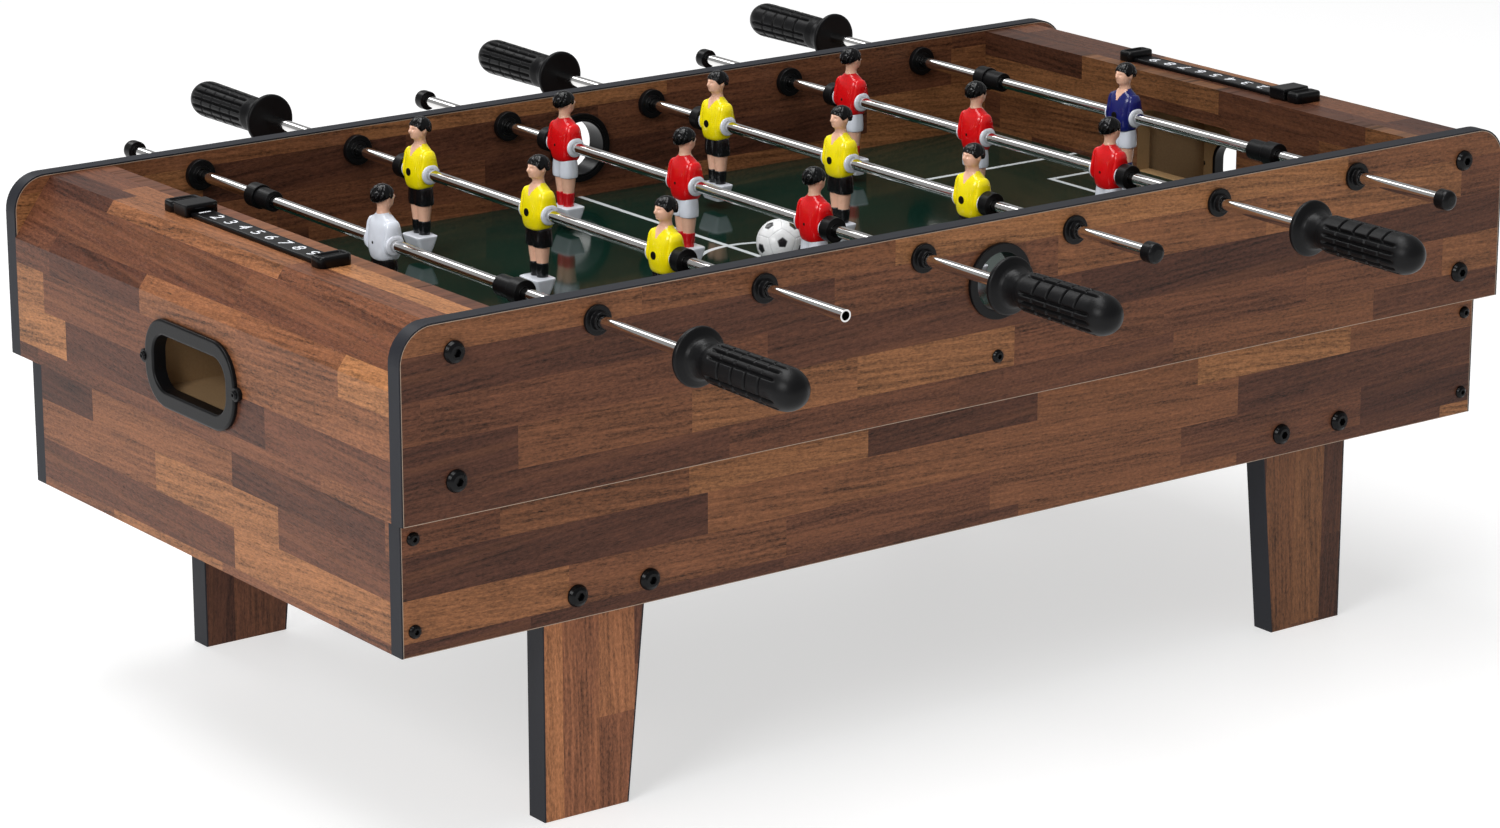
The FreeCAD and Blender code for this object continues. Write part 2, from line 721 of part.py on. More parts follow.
def saveRods():
    # odd rods have their grips at the front, even rods at the rear; rod 2 has lost its cap
    handle = grip()
    tip = cap()
    man = figure()
    for index in range(rodCount):
        name = "rod_%d" % (index + 1)
        x = rodX(index)
        slide = rodSlides[index]
        gripSide = -1 if index % 2 == 0 else 1
        keeper = index in (0, rodCount - 1)
        capped = index != 1
        save(name + "_tube", moved(tube(gripSide, capped), x, slide, rodHeight))
        turned = alongY(handle, gripSide)
        turned.rotate(vector(0, 0, 0), vector(0, 1, 0), gripTurns[index])
        save(name + "_grip", moved(turned, x, gripSide * gripY + slide, rodHeight))
        if capped:
            start = slide - gripSide * (tipY - capLength)
            save(name + "_cap", moved(alongY(tip, -gripSide), x, start, rodHeight))
        rings = keeperStops() if keeper else bumpers()
        save(name + "_stops", *[moved(ring, x, slide, rodHeight) for ring in rings])
        facing = man if gripSide < 0 else halfTurn(man)
        places = [0] if keeper else [-playerSpacing, 0, playerSpacing]
        save(name + "_figures", *[moved(facing, x, y + slide, rodHeight) for y in places])


def saveBall():
    centre = vector(ballX, ballY, fieldTop + ballLift + ballRadius)
    save("ball", Part.makeSphere(ballRadius, centre))


saveFrame()
saveFittings()
saveRods()
saveBall()
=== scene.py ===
import bpy
import math
import numpy as np
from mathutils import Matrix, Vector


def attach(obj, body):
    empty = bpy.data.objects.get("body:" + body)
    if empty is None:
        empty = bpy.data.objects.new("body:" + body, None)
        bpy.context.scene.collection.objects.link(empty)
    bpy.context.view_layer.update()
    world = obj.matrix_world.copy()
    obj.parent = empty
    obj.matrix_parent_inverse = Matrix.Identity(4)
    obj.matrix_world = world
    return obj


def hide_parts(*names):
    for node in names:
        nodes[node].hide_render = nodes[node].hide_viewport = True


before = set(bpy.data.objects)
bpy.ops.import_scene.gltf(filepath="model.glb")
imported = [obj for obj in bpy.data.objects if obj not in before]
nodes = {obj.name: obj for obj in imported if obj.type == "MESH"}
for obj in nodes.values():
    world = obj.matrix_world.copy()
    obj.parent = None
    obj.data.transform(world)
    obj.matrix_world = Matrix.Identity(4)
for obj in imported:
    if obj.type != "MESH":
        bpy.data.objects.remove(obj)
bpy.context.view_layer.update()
print("table frame loaded:", len(nodes), "pieces")

# sizes of the table that several pieces share, in metres
table = {
    "halfLength": 0.343,
    "sideTop": 0.259,
    "upperBottom": 0.167,
    "lowerBottom": 0.101,
    "lowerEnd": 0.3376,
    "cornerRadius": 0.018,
    "edgeBand": 0.0008,
    "coverTop": 0.2575,
    "bevelWide": 0.0212,
    "bevelHigh": 0.029,
    "rodHeight": 0.2465,
    "rodPitch": 0.0947,
    "rodSlides": [-0.0033, 0.0033, 0.010, 0.0033, 0.008, -0.0033],
    "playerSpacing": 0.1085,
    "gripStart": 0.2575,
    "outerFace": 0.1835,
}


# paint: expressions on surface values become Math nodes

class Tone:
    # a number that changes over a surface; plus, minus, times and divide add Math nodes
    def __init__(self, finish, socket):
        self.finish, self.socket = finish, socket

    def work(self, operation, *values):
        node = self.finish.add("ShaderNodeMath", {"operation": operation}, dict(enumerate(values)))
        return Tone(self.finish, node.outputs[0])

    def __add__(self, other): return self.work("ADD", self, other)
    def __radd__(self, other): return self.work("ADD", other, self)
    def __sub__(self, other): return self.work("SUBTRACT", self, other)
    def __rsub__(self, other): return self.work("SUBTRACT", other, self)
    def __mul__(self, other): return self.work("MULTIPLY", self, other)
    def __rmul__(self, other): return self.work("MULTIPLY", other, self)
    def __truediv__(self, other): return self.work("DIVIDE", self, other)
    def __rtruediv__(self, other): return self.work("DIVIDE", other, self)
    def __abs__(self): return self.work("ABSOLUTE", self)
    def floor(self): return self.work("FLOOR", self)
    def sine(self): return self.work("SINE", self)
    def root(self): return self.work("SQRT", self)
    def least(self, other): return self.work("MINIMUM", self, other)
    def most(self, other): return self.work("MAXIMUM", self, other)

    def ease(self, low, high):
        # 0 below low and 1 above high with a soft step between
        node = self.finish.add("ShaderNodeMapRange", {"interpolation_type": "SMOOTHSTEP"},
                               {"Value": self, "From Min": low, "From Max": high})
        return Tone(self.finish, node.outputs["Result"])

    def ramp(self, stops):
        node = self.finish.add("ShaderNodeValToRGB", {"stops": stops}, {"Fac": self})
        return node.outputs["Color"]


class Finish:
    # one material while it is being built
    def __init__(self, name):
        self.material = bpy.data.materials.new(name)
        self.material.use_nodes = True
        self.tree = self.material.node_tree
        self.tree.nodes.clear()
        self.place = self.add("ShaderNodeTexCoord").outputs["Object"]

    def plug(self, socket, value):
        if isinstance(value, Tone):
            value = value.socket
        if isinstance(value, bpy.types.NodeSocket):
            self.tree.links.new(value, socket)
        else:
            socket.default_value = value

    def add(self, kind, settings=None, sockets=None):
        node = self.tree.nodes.new(kind)
        for key, value in (settings or {}).items():
            if key == "stops":
                elements = node.color_ramp.elements
                while len(elements) < len(value):
                    elements.new(0.5)
                for element, (position, colour) in zip(elements, value):
                    element.position, element.color = position, (*colour, 1)
            else:
                setattr(node, key, value)
        for key, value in (sockets or {}).items():
            self.plug(node.inputs[key], value)
        return node

    def axes(self, vector=None):
        node = self.add("ShaderNodeSeparateXYZ", {}, {0: self.place if vector is None else vector})
        return [Tone(self, socket) for socket in node.outputs]

    def facing(self):
        return self.axes(self.add("ShaderNodeNewGeometry").outputs["Normal"])

    def point(self, x, y, z):
        return self.add("ShaderNodeCombineXYZ", {}, {0: x, 1: y, 2: z}).outputs[0]

    def scaled(self, x, y, z):
        node = self.add("ShaderNodeVectorMath", {"operation": "MULTIPLY"}, {0: self.place, 1: (x, y, z)})
        return node.outputs[0]

    def cloud(self, vector, scale=1.0, detail=2.0, rough=0.5, twist=0.0):
        node = self.add("ShaderNodeTexNoise", {}, {"Vector": vector, "Scale": scale, "Detail": detail,
                                                   "Roughness": rough, "Distortion": twist})
        return Tone(self, node.outputs[0])

    def dice(self, vector):
        node = self.add("ShaderNodeTexWhiteNoise", {"noise_dimensions": "3D"}, {"Vector": vector})
        return Tone(self, node.outputs["Value"]), self.axes(node.outputs["Color"])

    def blend(self, amount, first, second, how="MIX"):
        node = self.add("ShaderNodeMix", {"data_type": "RGBA", "blend_type": how},
                        {0: amount, 6: first, 7: second})
        return node.outputs[2]

    def relief(self, height, depth, strength=1.0, below=None):
        sockets = {"Height": height, "Distance": depth, "Strength": strength}
        if below is not None:
            sockets["Normal"] = below
        return self.add("ShaderNodeBump", {}, sockets).outputs["Normal"]

    def close(self, **surface):
        names = {"colour": "Base Color", "rough": "Roughness", "metal": "Metallic", "normal": "Normal",
                 "coat": "Coat Weight", "coatRough": "Coat Roughness", "shine": "Specular IOR Level",
                 "glow": "Emission Color", "glowPower": "Emission Strength"}
        sockets = {names[key]: value for key, value in surface.items()}
        shader = self.add("ShaderNodeBsdfPrincipled", {}, sockets)
        self.add("ShaderNodeOutputMaterial", {}, {"Surface": shader.outputs[0]})
        return self.material


# walnut laminate

walnut = {
    "stripWide": 0.0205,
    "plankLong": 0.150,
    "tones": [(0.0, (0.064, 0.024, 0.015)), (0.28, (0.100, 0.038, 0.021)), (0.56, (0.146, 0.056, 0.028)),
              (0.80, (0.212, 0.086, 0.037)), (1.0, (0.310, 0.136, 0.054))],
    "warmTone": (0.26, 0.105, 0.040, 1),
    "fibreShade": 2.3,
    "streakShade": 0.8,
    "speckShade": 2.0,
    "ringShade": 0.34,
    "poreShade": 0.34,
    "printLift": 1.13,
    "rough": 0.36,
    "rawBoard": (0.30, 0.185, 0.085, 1),
    "paleEdge": (0.42, 0.32, 0.24, 1),
    "paleEdgeWide": 0.00030,
}


def plankColour(finish, along, across, seed):
    # strips of planks: the strip number picks the plank length and shift, the plank number the tone and grain
    strip = (across / walnut["stripWide"] + 0.35 * seed).floor()
    stripDice = finish.dice(finish.point(strip, seed * 3.17, 0.5))[1]
    long = (stripDice[0] * 0.9 + 0.6) * walnut["plankLong"]
    plank = (along / long + stripDice[1] * 9.0).floor()
    tone, plankDice = finish.dice(finish.point(strip * 1.31, plank, seed * 1.7))
    lean = (plankDice[0] - 0.5) * 0.16
    side = across + along * lean
    drift = plankDice[1] * 40.0
    swirl = finish.cloud(finish.point(along * 5.0, side * 34.0, drift), 1.0, 2.0, 0.5)
    rings = ((side + swirl * (plankDice[2] * 0.030 + 0.006)) * 1750.0).sine() * 0.5 + 0.5
    fade = finish.cloud(finish.point(along * 9.0, side * 60.0, drift + 7.0), 1.0, 1.0, 0.5).ease(0.38, 0.62)
    fibre = finish.cloud(finish.point(along * 26.0, side * 560.0, drift), 1.0, 5.0, 0.78)
    streak = finish.cloud(finish.point(along * 4.0, side * 120.0, drift), 1.0, 3.0, 0.55)
    pore = finish.cloud(finish.point(along * 240.0, side * 2600.0, drift), 1.0, 1.0, 0.5).ease(0.58, 0.70)
    speck = finish.cloud(finish.point(along * 420.0, side * 900.0, drift), 1.0, 3.0, 0.7)
    colour = tone.ramp(walnut["tones"])
    shade = (fibre - 0.5) * walnut["fibreShade"] + (streak - 0.5) * walnut["streakShade"]
    shade = shade + (speck - 0.5) * walnut["speckShade"] - rings * fade * walnut["ringShade"]
    shade = shade - pore * walnut["poreShade"] + walnut["printLift"]
    colour = finish.blend(1.0, colour, shade, "MULTIPLY")
    warm = streak.ease(0.50, 0.75) * 0.20
    colour = finish.blend(warm, colour, walnut["warmTone"])
    height = fibre * 0.5 - pore - rings * 0.15
    rough = walnut["rough"] + pore * 0.12 + (fibre - 0.5) * 0.10
    return colour, height, rough


def rawColour(finish):
    speck = finish.cloud(finish.place, 900.0, 3.0, 0.6)
    patch = finish.cloud(finish.place, 60.0, 2.0, 0.5)
    colour = finish.blend(1.0, walnut["rawBoard"], 0.72 + speck * 0.34 + patch * 0.22, "MULTIPLY")
    return colour, speck


def boardMaterial(name, seed, printed, lay, skin, paleLine=None):
    # laminate where skin is 1, raw fibreboard elsewhere, and a pale line where the skin ends
    finish = Finish(name)
    along, across = lay(finish)
    wood, height, rough = plankColour(finish, along, across, seed)
    # the print lightness also carries painted light and shade: boards in shade are made darker, lit ones
    # lighter
    wood = finish.blend(1.0, wood, (printed, printed * 0.985, printed * 0.97, 1), "MULTIPLY")
    raw, speck = rawColour(finish)
    mask = skin(finish)
    if paleLine is not None:
        edge = 1 - paleLine(finish).ease(walnut["paleEdgeWide"] * 0.6, walnut["paleEdgeWide"] * 1.4)
        wood = finish.blend(edge, wood, walnut["paleEdge"])
    colour = finish.blend(mask, raw, wood)
    rough = 0.85 - mask * (0.85 - rough)
    normal = finish.relief(height * mask + speck * (1 - mask), 0.00012, 0.45)
    return finish.close(colour=colour, rough=rough, normal=normal, shine=0.16)


def layLong(finish):
    x, y, z = finish.axes()
    return x, z


def layAcross(finish):
    x, y, z = finish.axes()
    return y, z


def layLeg(finish):
    x, y, z = finish.axes()
    return z, x


def layFolded(finish):
    # follows the cover round its bevel, so strips keep their width on the slope and the top
    x, y, z = finish.axes()
    inward = table["halfLength"] - abs(x)
    slope = math.hypot(table["bevelWide"], table["bevelHigh"])
    squeeze = (slope - table["bevelHigh"]) / table["bevelWide"]
    up = z + inward.least(table["bevelWide"]) * squeeze + (inward - table["bevelWide"]).most(0.0)
    return y, up


def skinY(finish):
    return abs(finish.facing()[1]).ease(0.6, 0.8)


def skinX(finish):
    return abs(finish.facing()[0]).ease(0.6, 0.8)


def skinWall(finish):
    # both faces and the top edge of a goal wall are laminated, the goal mouth is raw
    across = abs(finish.facing()[0]).ease(0.6, 0.8)
    z = finish.axes()[2]
    return across.most(z.ease(0.2570, 0.2573))


def skinCover(finish):
    # the cover is laminated outside only: the outer faces look up or away from the middle of the table
    x = finish.axes()[0]
    nx, ny, nz = finish.facing()
    side = x * 1000.0
    away = nx * side.most(-1.0).least(1.0) + nz
    return away.ease(0.3, 0.6)


def panelRim(finish):
    # distance in from the outline of a side panel with rounded top corners
    x, y, z = finish.axes()
    half = table["halfLength"] - table["edgeBand"]
    radius = table["cornerRadius"] - table["edgeBand"]
    top = table["sideTop"] - table["edgeBand"]
    dx = abs(x) - (half - radius)
    dz = z - (top - radius)
    px, pz = dx.most(0.0), dz.most(0.0)
    outward = (px * px + pz * pz).root() + dx.most(dz).least(0.0) - radius
    return (0 - outward).least(z - table["upperBottom"])


def apronRim(finish):
    x, y, z = finish.axes()
    return (table["lowerEnd"] - table["edgeBand"] - abs(x)).least(z - table["lowerBottom"])


# for each board: the seed of its print, how light it is printed, which is partly painted light and shade
# (boards in shade, such as the inner right goal wall and the near right leg, are darker, and the lit
# left end cover lighter), the way its strips run, where it is laminated, and the outline that shows a
# pale cut edge
boards = {
    "front_side_panel": (3.0, 0.88, layLong, skinY, panelRim),
    "rear_side_panel": (8.0, 0.92, layLong, skinY, panelRim),
    "front_apron": (5.0, 0.95, layLong, skinY, apronRim),
    "rear_apron": (12.0, 0.95, layLong, skinY, apronRim),
    "left_end_cover": (7.0, 1.08, layFolded, skinCover, None),
    "right_end_cover": (9.0, 0.80, layFolded, skinCover, None),
    "left_goal_wall": (4.0, 0.90, layAcross, skinWall, None),
    "right_goal_wall": (6.0, 0.55, layAcross, skinWall, None),
    "left_lower_end": (11.0, 1.05, layAcross, skinX, None),
    "right_lower_end": (13.0, 0.95, layAcross, skinX, None),
    "front_left_leg": (14.0, 1.50, layLeg, skinY, None),
    "front_right_leg": (15.0, 0.68, layLeg, skinY, None),
    "rear_left_leg": (16.0, 0.90, layLeg, skinY, None),
    "rear_right_leg": (17.0, 0.90, layLeg, skinY, None),
}


def dress(name, material):
    mesh = nodes[name].data
    mesh.materials.clear()
    mesh.materials.append(material)
    mesh.polygons.foreach_set("material_index", np.zeros(len(mesh.polygons), np.int32))


# each board's print lightness is its print tone with painted light and shade worked in
for name, (seed, printed, lay, skin, rim) in boards.items():
    dress(name, boardMaterial("walnut_" + name, seed, printed, lay, skin, rim))
print("walnut boards dressed")


def rawMaterial():
    finish = Finish("raw_board")
    colour, speck = rawColour(finish)
    return finish.close(colour=colour, rough=0.88, normal=finish.relief(speck, 0.0002, 0.5))


for name in ("goal_boxes", "field_cleats", "corner_blocks"):
    dress(name, rawMaterial())


# black mouldings, tape and steel: colour, roughness, fineness of the surface texture and its depth

mouldings = {
    "tape": ((0.017, 0.018, 0.023, 1), 0.48, 340.0, 0.00005),
    "plastic": ((0.0040, 0.0040, 0.0045, 1), 0.30, 700.0, 0.00005),
    "rubber": ((0.0042, 0.0042, 0.0047, 1), 0.38, 900.0, 0.00008),
    "steel": ((0.0035, 0.0035, 0.0040, 1), 0.20, 500.0, 0.00004),
}


def mouldedMaterial(kind):
    # dark moulding with a fine orange-peel and faint rubbed patches
    base, rough, fine, depth = mouldings[kind]
    finish = Finish("black_" + kind)
    peel = finish.cloud(finish.place, fine, 2.0, 0.5)
    rub = finish.cloud(finish.place, 38.0, 3.0, 0.6)
    colour = finish.blend(1.0, base, 0.75 + rub * 0.5, "MULTIPLY")
    return finish.close(colour=colour, rough=rough + (rub - 0.5) * 0.16,
                        normal=finish.relief(peel, depth, 0.6), shine=0.15)


blackTape, blackPlastic, blackRubber, blackSteel = [mouldedMaterial(kind) for kind in mouldings]
dress("edge_bands", blackTape)
for name in ("panel_bolts", "leg_bolts", "small_screws"):
    dress(name, blackSteel)


def chromeMaterial():
    # drawn tube: bright plating with fine lines along the tube
    finish = Finish("chrome_tube")
    lines = finish.cloud(finish.scaled(2600.0, 9.0, 2600.0), 1.0, 2.0, 0.6)
    haze = finish.cloud(finish.place, 45.0, 3.0, 0.6)
    colour = finish.blend(haze, (0.70, 0.69, 0.69, 1), (0.86, 0.85, 0.83, 1))
    return finish.close(colour=colour, metal=1.0, rough=0.055 + haze * 0.06,
                        normal=finish.relief(lines, 0.00003, 0.20))


chrome = chromeMaterial()
for number in range(1, 7):
    dress("rod_%d_tube" % number, chrome)
print("mouldings and tubes dressed")


# playing field

field = {
    "green": (0.0040, 0.022, 0.014, 1),
    "deepGreen": (0.0030, 0.015, 0.011, 1),
    "line": (0.62, 0.66, 0.68, 1),
    "lineWide": 0.0031,
    "lineBlur": 0.00025,
    "circle": 0.038,
    "spot": 0.0035,
    "boxes": [(0.053, 0.2335), (0.093, 0.176)],
}


def fieldMaterial():
    # white lines are where the distance to a drawn shape is under half a line's width
    finish = Finish("printed_field")
    x, y, z = finish.axes()
    ax, ay = abs(x), abs(y)
    reach = (x * x + y * y).root()
    near = ax.least(abs(reach - field["circle"])).least((reach - field["spot"]).most(0.0))
    for halfWide, start in field["boxes"]:
        near = near.least(abs((ay - halfWide).most(start - ax)))
    edge = field["lineWide"] * 0.5
    line = 1 - near.ease(edge - field["lineBlur"], edge + field["lineBlur"])
    patch = finish.cloud(finish.place, 12.0, 3.0, 0.6)
    grain = finish.cloud(finish.place, 1500.0, 1.0, 0.5)
    green = finish.blend(patch, field["green"], field["deepGreen"])
    colour = finish.blend(line * (0.90 + grain * 0.1), green, field["line"])
    wave = finish.cloud(finish.place, 26.0, 1.0, 0.4)
    return finish.close(colour=colour, rough=0.05 + patch * 0.05, normal=finish.relief(wave, 0.0004, 0.06),
                        shine=0.30)


dress("playfield", fieldMaterial())
print("field printed")


# surfaces from grids

def ringQuads(rows, around, wrap=False):
    # four-sided faces between each ring and the next; wrap also joins the last ring to the first
    row, col = np.meshgrid(np.arange(rows if wrap else rows - 1), np.arange(around), indexing="ij")
    nextRow, nextCol = (row + 1) % rows, (col + 1) % around
    quads = [row * around + col, row * around + nextCol, nextRow * around + nextCol, nextRow * around + col]
    return np.stack(quads, -1).reshape(-1, 4).tolist()


def closedGrid(points, first=None, last=None):
    # rings joined by quads; a pole at either end closes it with a fan of triangles
    rows, around = points.shape[:2]
    verts = points.reshape(-1, 3)
    faces = ringQuads(rows, around)
    ring = np.arange(around)
    for pole, base, flip in ((first, 0, True), (last, (rows - 1) * around, False)):
        if pole is None:
            continue
        verts = np.vstack([verts, pole])
        here, there = base + ring, base + (ring + 1) % around
        pair = (there, here) if flip else (here, there)
        faces += np.stack([pair[0], pair[1], np.full(around, len(verts) - 1)], -1).tolist()
    return verts, faces


def outward(verts, faces):
    # turns every face over if the closed surface's signed volume is negative
    total = 0.0
    for size in (3, 4):
        group = np.array([face for face in faces if len(face) == size])
        if len(group):
            for corner in range(1, size - 1):
                a, b, c = verts[group[:, 0]], verts[group[:, corner]], verts[group[:, corner + 1]]
                total += np.einsum("ij,ij->i", a, np.cross(b, c)).sum()
    return faces if total > 0 else [face[::-1] for face in faces]


def easedCurve(knots, values, samples):
    # cubic through the knots whose slope at each knot comes from its neighbours
    knots, values = np.asarray(knots, float), np.asarray(values, float)
    slopes = np.gradient(values, knots, axis=0)
    index = np.clip(np.searchsorted(knots, samples, "right") - 1, 0, len(knots) - 2)
    span = knots[index + 1] - knots[index]
    t = (samples - knots[index]) / span
    t, span = t[:, None], span[:, None]
    return ((2 * t**3 - 3 * t**2 + 1) * values[index] + (t**3 - 2 * t**2 + t) * span * slopes[index]
            + (3 * t**2 - 2 * t**3) * values[index + 1] + (t**3 - t**2) * span * slopes[index + 1])


def ringLoft(levels, rows, around, shape=None):
    # levels give height, middle x, middle y, half depth, half width and squareness; each ring is a
    # superellipse
    levels = np.array(levels, float)
    t = np.linspace(0, 1, len(levels))
    data = easedCurve(t, levels, np.linspace(0, 1, rows))
    angle = np.linspace(0, 2 * np.pi, around, endpoint=False)[None, :]
    power = 2 / np.clip(data[:, 5:6], 1.2, 20)
    cosine, sine = np.cos(angle), np.sin(angle)
    # each axis of a superellipse is its half size times the cosine or sine raised to the power, sign kept
    x = data[:, 1:2] + np.clip(data[:, 3:4], 0, None) * np.sign(cosine) * np.abs(cosine) ** power
    y = data[:, 2:3] + np.clip(data[:, 4:5], 0, None) * np.sign(sine) * np.abs(sine) ** power
    z = np.repeat(data[:, 0:1], around, 1)
    points = np.stack([x, y, z], -1)
    if shape is not None:
        points = shape(points, angle)
    return closedGrid(points, points[0].mean(0), points[-1].mean(0))


def aroundAxis(radius, angle, height, axis):
    # radius times the cosine and sine of the angle gives the sideways places, the height runs along the axis
    a, b = radius * np.cos(angle), radius * np.sin(angle)
    h = np.broadcast_to(height, a.shape)
    return np.stack({"z": (a, b, h), "y": (a, h, b), "x": (h, a, b)}[axis], -1)


def turned(profile, around, axis="z"):
    # a profile of radius and height pairs carried round an axis; both ends close on the axis
    profile = np.array(profile, float)
    angle = np.linspace(0, 2 * np.pi, around, endpoint=False)[None, :]
    points = aroundAxis(profile[:, :1], angle, profile[:, 1:], axis)
    return closedGrid(points, points[0].mean(0), points[-1].mean(0))


def hoop(profile, around, axis="z"):
    # a closed profile of radius and height pairs carried round an axis: a ring with a clear bore
    profile = np.array(profile, float)
    angle = np.linspace(0, 2 * np.pi, around, endpoint=False)[:, None]
    return wrappedGrid(aroundAxis(profile[:, 0][None, :], angle, profile[:, 1][None, :], axis))


def wrappedGrid(points):
    # a grid closed both ways, like a tyre
    return points.reshape(-1, 3), ringQuads(*points.shape[:2], True)


def cappedGrid(points):
    # rings joined by quads, with each end closed by one many-sided face
    rows, around = points.shape[:2]
    ends = [list(range(around))[::-1], list(range((rows - 1) * around, rows * around))]
    return points.reshape(-1, 3), ringQuads(rows, around) + ends


def shifted(part, x, y, z):
    verts, faces = part
    return verts + np.array([x, y, z]), faces


def makePiece(name, parts, materials, body, stands=(), smooth=True):
    # parts are (vertices, faces, material number or an array of one per face), joined into one object
    verts, faces, index, start = [], [], [], 0
    for partVerts, partFaces, material in parts:
        partFaces = outward(partVerts, partFaces)
        faces += [[corner + start for corner in face] for face in partFaces]
        index.append(np.broadcast_to(material, len(partFaces)))
        verts.append(partVerts)
        start += len(partVerts)
    mesh = bpy.data.meshes.new(name)
    mesh.from_pydata(np.vstack(verts).tolist(), [], faces)
    mesh.polygons.foreach_set("material_index", np.concatenate(index).astype(np.int32))
    mesh.polygons.foreach_set("use_smooth", np.full(len(faces), smooth))
    for material in materials:
        mesh.materials.append(material)
    mesh.update()
    piece = bpy.data.objects.new(name, mesh)
    bpy.context.scene.collection.objects.link(piece)
    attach(piece, body)
    if stands:
        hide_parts(*stands)
    return piece


def faceMiddles(verts, faces):
    # each face's middle is the mean of its corners
    lengths = np.array([len(face) for face in faces])
    flat = np.fromiter((corner for face in faces for corner in face), int, lengths.sum())
    owner = np.repeat(np.arange(len(faces)), lengths)
    middle = np.zeros((len(faces), 3))
    np.add.at(middle, owner, verts[flat])
    return middle / lengths[:, None]


# turned and moulded fittings, in millimetres; profiles are radius and distance out along the axis

fittings = {
    "softness": 0.45,
    "bearing": [(3.08, 5.0), (4.3, 5.0), (4.6, 2.0), (7.3, 2.0), (7.3, 0.0), (5.0, 0.0), (5.0, -12.5),
                (3.08, -12.5)],
    "bearingNut": [(5.0, -9.0), (8.0, -9.0), (8.0, -12.5), (5.0, -12.5)],
    "entryCup": [(14.5, 2.2), (19.0, 2.2), (19.0, 0.0), (16.0, 0.0), (16.0, -11.2), (14.5, -11.2)],
    "entryRing": [(16.0, -9.0), (19.0, -9.0), (19.0, -11.2), (16.0, -11.2)],
    "entryHeight": 0.228,
    "bumper": [(3.06, 119.6), (6.3, 119.6), (6.3, 126.1), (3.06, 126.1)],
    "stopSleeve": [(3.06, 102.5), (5.3, 102.5), (5.3, 114.6), (3.06, 114.6)],
    "stopCollar": [(3.06, 114.5), (6.3, 114.5), (6.3, 122.5), (3.06, 122.5)],
    "cap": [(3.02, -6.5), (3.02, 0.0), (5.2, 0.0), (5.2, -4.9), (4.95, -6.3), (4.1, -7.3), (2.6, -7.85),
            (0.2, -8.0)],
    "capSeat": 0.2412,
    "bezelHalfWide": 42.0,
    "bezelHalfHigh": 22.0,
    "bezelCorner": 19.0,
    "bezelHeight": 0.197,
    "bezel": [(0.0, 0.0), (0.0, 1.9), (0.9, 2.4), (7.2, 2.4), (8.0, 1.8), (8.0, -5.0), (6.2, -5.0),
              (6.2, 0.0)],
    "earOut": 43.0,
    "ear": [(1.4, 0.0), (3.4, 0.0), (3.4, 2.4), (1.4, 2.4)],
}


def softened(corners, softness, steps=5):
    # each corner of a closed profile gives way to a short curve, with one more point on the straight on
    # either side
    corners = np.array(corners, float)
    before, after = np.roll(corners, 1, axis=0) - corners, np.roll(corners, -1, axis=0) - corners
    size = np.linalg.norm(np.stack([before, after]), axis=2)[..., None]
    reach = np.minimum(softness, 0.33 * size)
    start, end = corners + before / size[0] * reach[0], corners + after / size[1] * reach[1]
    t = np.linspace(0, 1, steps)[None, :, None]
    curve = (1 - t) ** 2 * start[:, None] + 2 * t * (1 - t) * corners[:, None] + t ** 2 * end[:, None]
    lead = (corners + before / size[0] * reach[0] * 1.4)[:, None]
    tail = (corners + after / size[1] * reach[1] * 1.4)[:, None]
    return np.concatenate([lead, curve, tail], 1).reshape(-1, 2)


def outlineSweep(profile, halfA, halfB, corner, quarter=12):
    # rounded rectangles, one for each profile point: its first number is how far in from the outline, its
    # second the height; a rounded rectangle is a smaller plain one grown by the corner's radius
    profile = np.array(profile, float)
    angle = (np.arange(4)[:, None] * 90 + np.linspace(0, 90, quarter)[None, :]).reshape(-1)
    angle = np.radians(angle)
    sideA = np.repeat([1, -1, -1, 1], quarter) * (halfA - corner)
    sideB = np.repeat([1, 1, -1, -1], quarter) * (halfB - corner)
    radius = (corner - profile[:, 0])[:, None]
    a, b = sideA + radius * np.cos(angle), sideB + radius * np.sin(angle)
    return np.stack([a, b, np.repeat(profile[:, 1:], len(angle), 1)], -1)


def inPlace(part, place=(0, 0, 0), flip=(1, 1, 1)):
    # millimetres to metres, mirrored where flip is -1, then moved
    verts, faces = part
    return verts * np.array(flip) * 0.001 + np.array(place), faces, 0


def spun(profile, around=64, axis="y"):
    # a ring with softened corners
    return hoop(softened(profile, fittings["softness"]), around, axis)


def blackPiece(name, parts, body, node):
    return makePiece(name, parts, [blackPlastic], body, (node,))


rodXs = [(index - 2.5) * table["rodPitch"] for index in range(6)]
gripSides = [-1 if index % 2 == 0 else 1 for index in range(6)]
bearings = [inPlace(spun(fittings[part]), (x, side * table["outerFace"], table["rodHeight"]), (1, side, 1))
            for x in rodXs for side in (-1, 1) for part in ("bearing", "bearingNut")]
blackPiece("bearing_bushes", bearings, "frame", "rod_bearings")
entries = [inPlace(spun(fittings[part], 128), (0, side * table["outerFace"], fittings["entryHeight"]),
                   (1, side, 1)) for side in (-1, 1) for part in ("entryCup", "entryRing")]
blackPiece("ball_entry_cups", entries, "frame", "ball_entries")


def bezelParts(side):
    # the goal rim's profile swept along a rounded rectangle, with a screw ear at either hand
    rings = outlineSweep(softened(fittings["bezel"], fittings["softness"], 4), fittings["bezelHalfWide"],
                         fittings["bezelHalfHigh"], fittings["bezelCorner"], 20)
    rim = wrappedGrid(rings[..., [2, 0, 1]])
    middle = (side * table["halfLength"], 0, fittings["bezelHeight"])
    parts = [inPlace(rim, middle, (side, 1, 1))]
    for hand in (-1, 1):
        ear = shifted(spun(fittings["ear"], 40, "x"), 0, hand * fittings["earOut"], 0)
        parts.append(inPlace(ear, middle, (side, 1, 1)))
    return parts


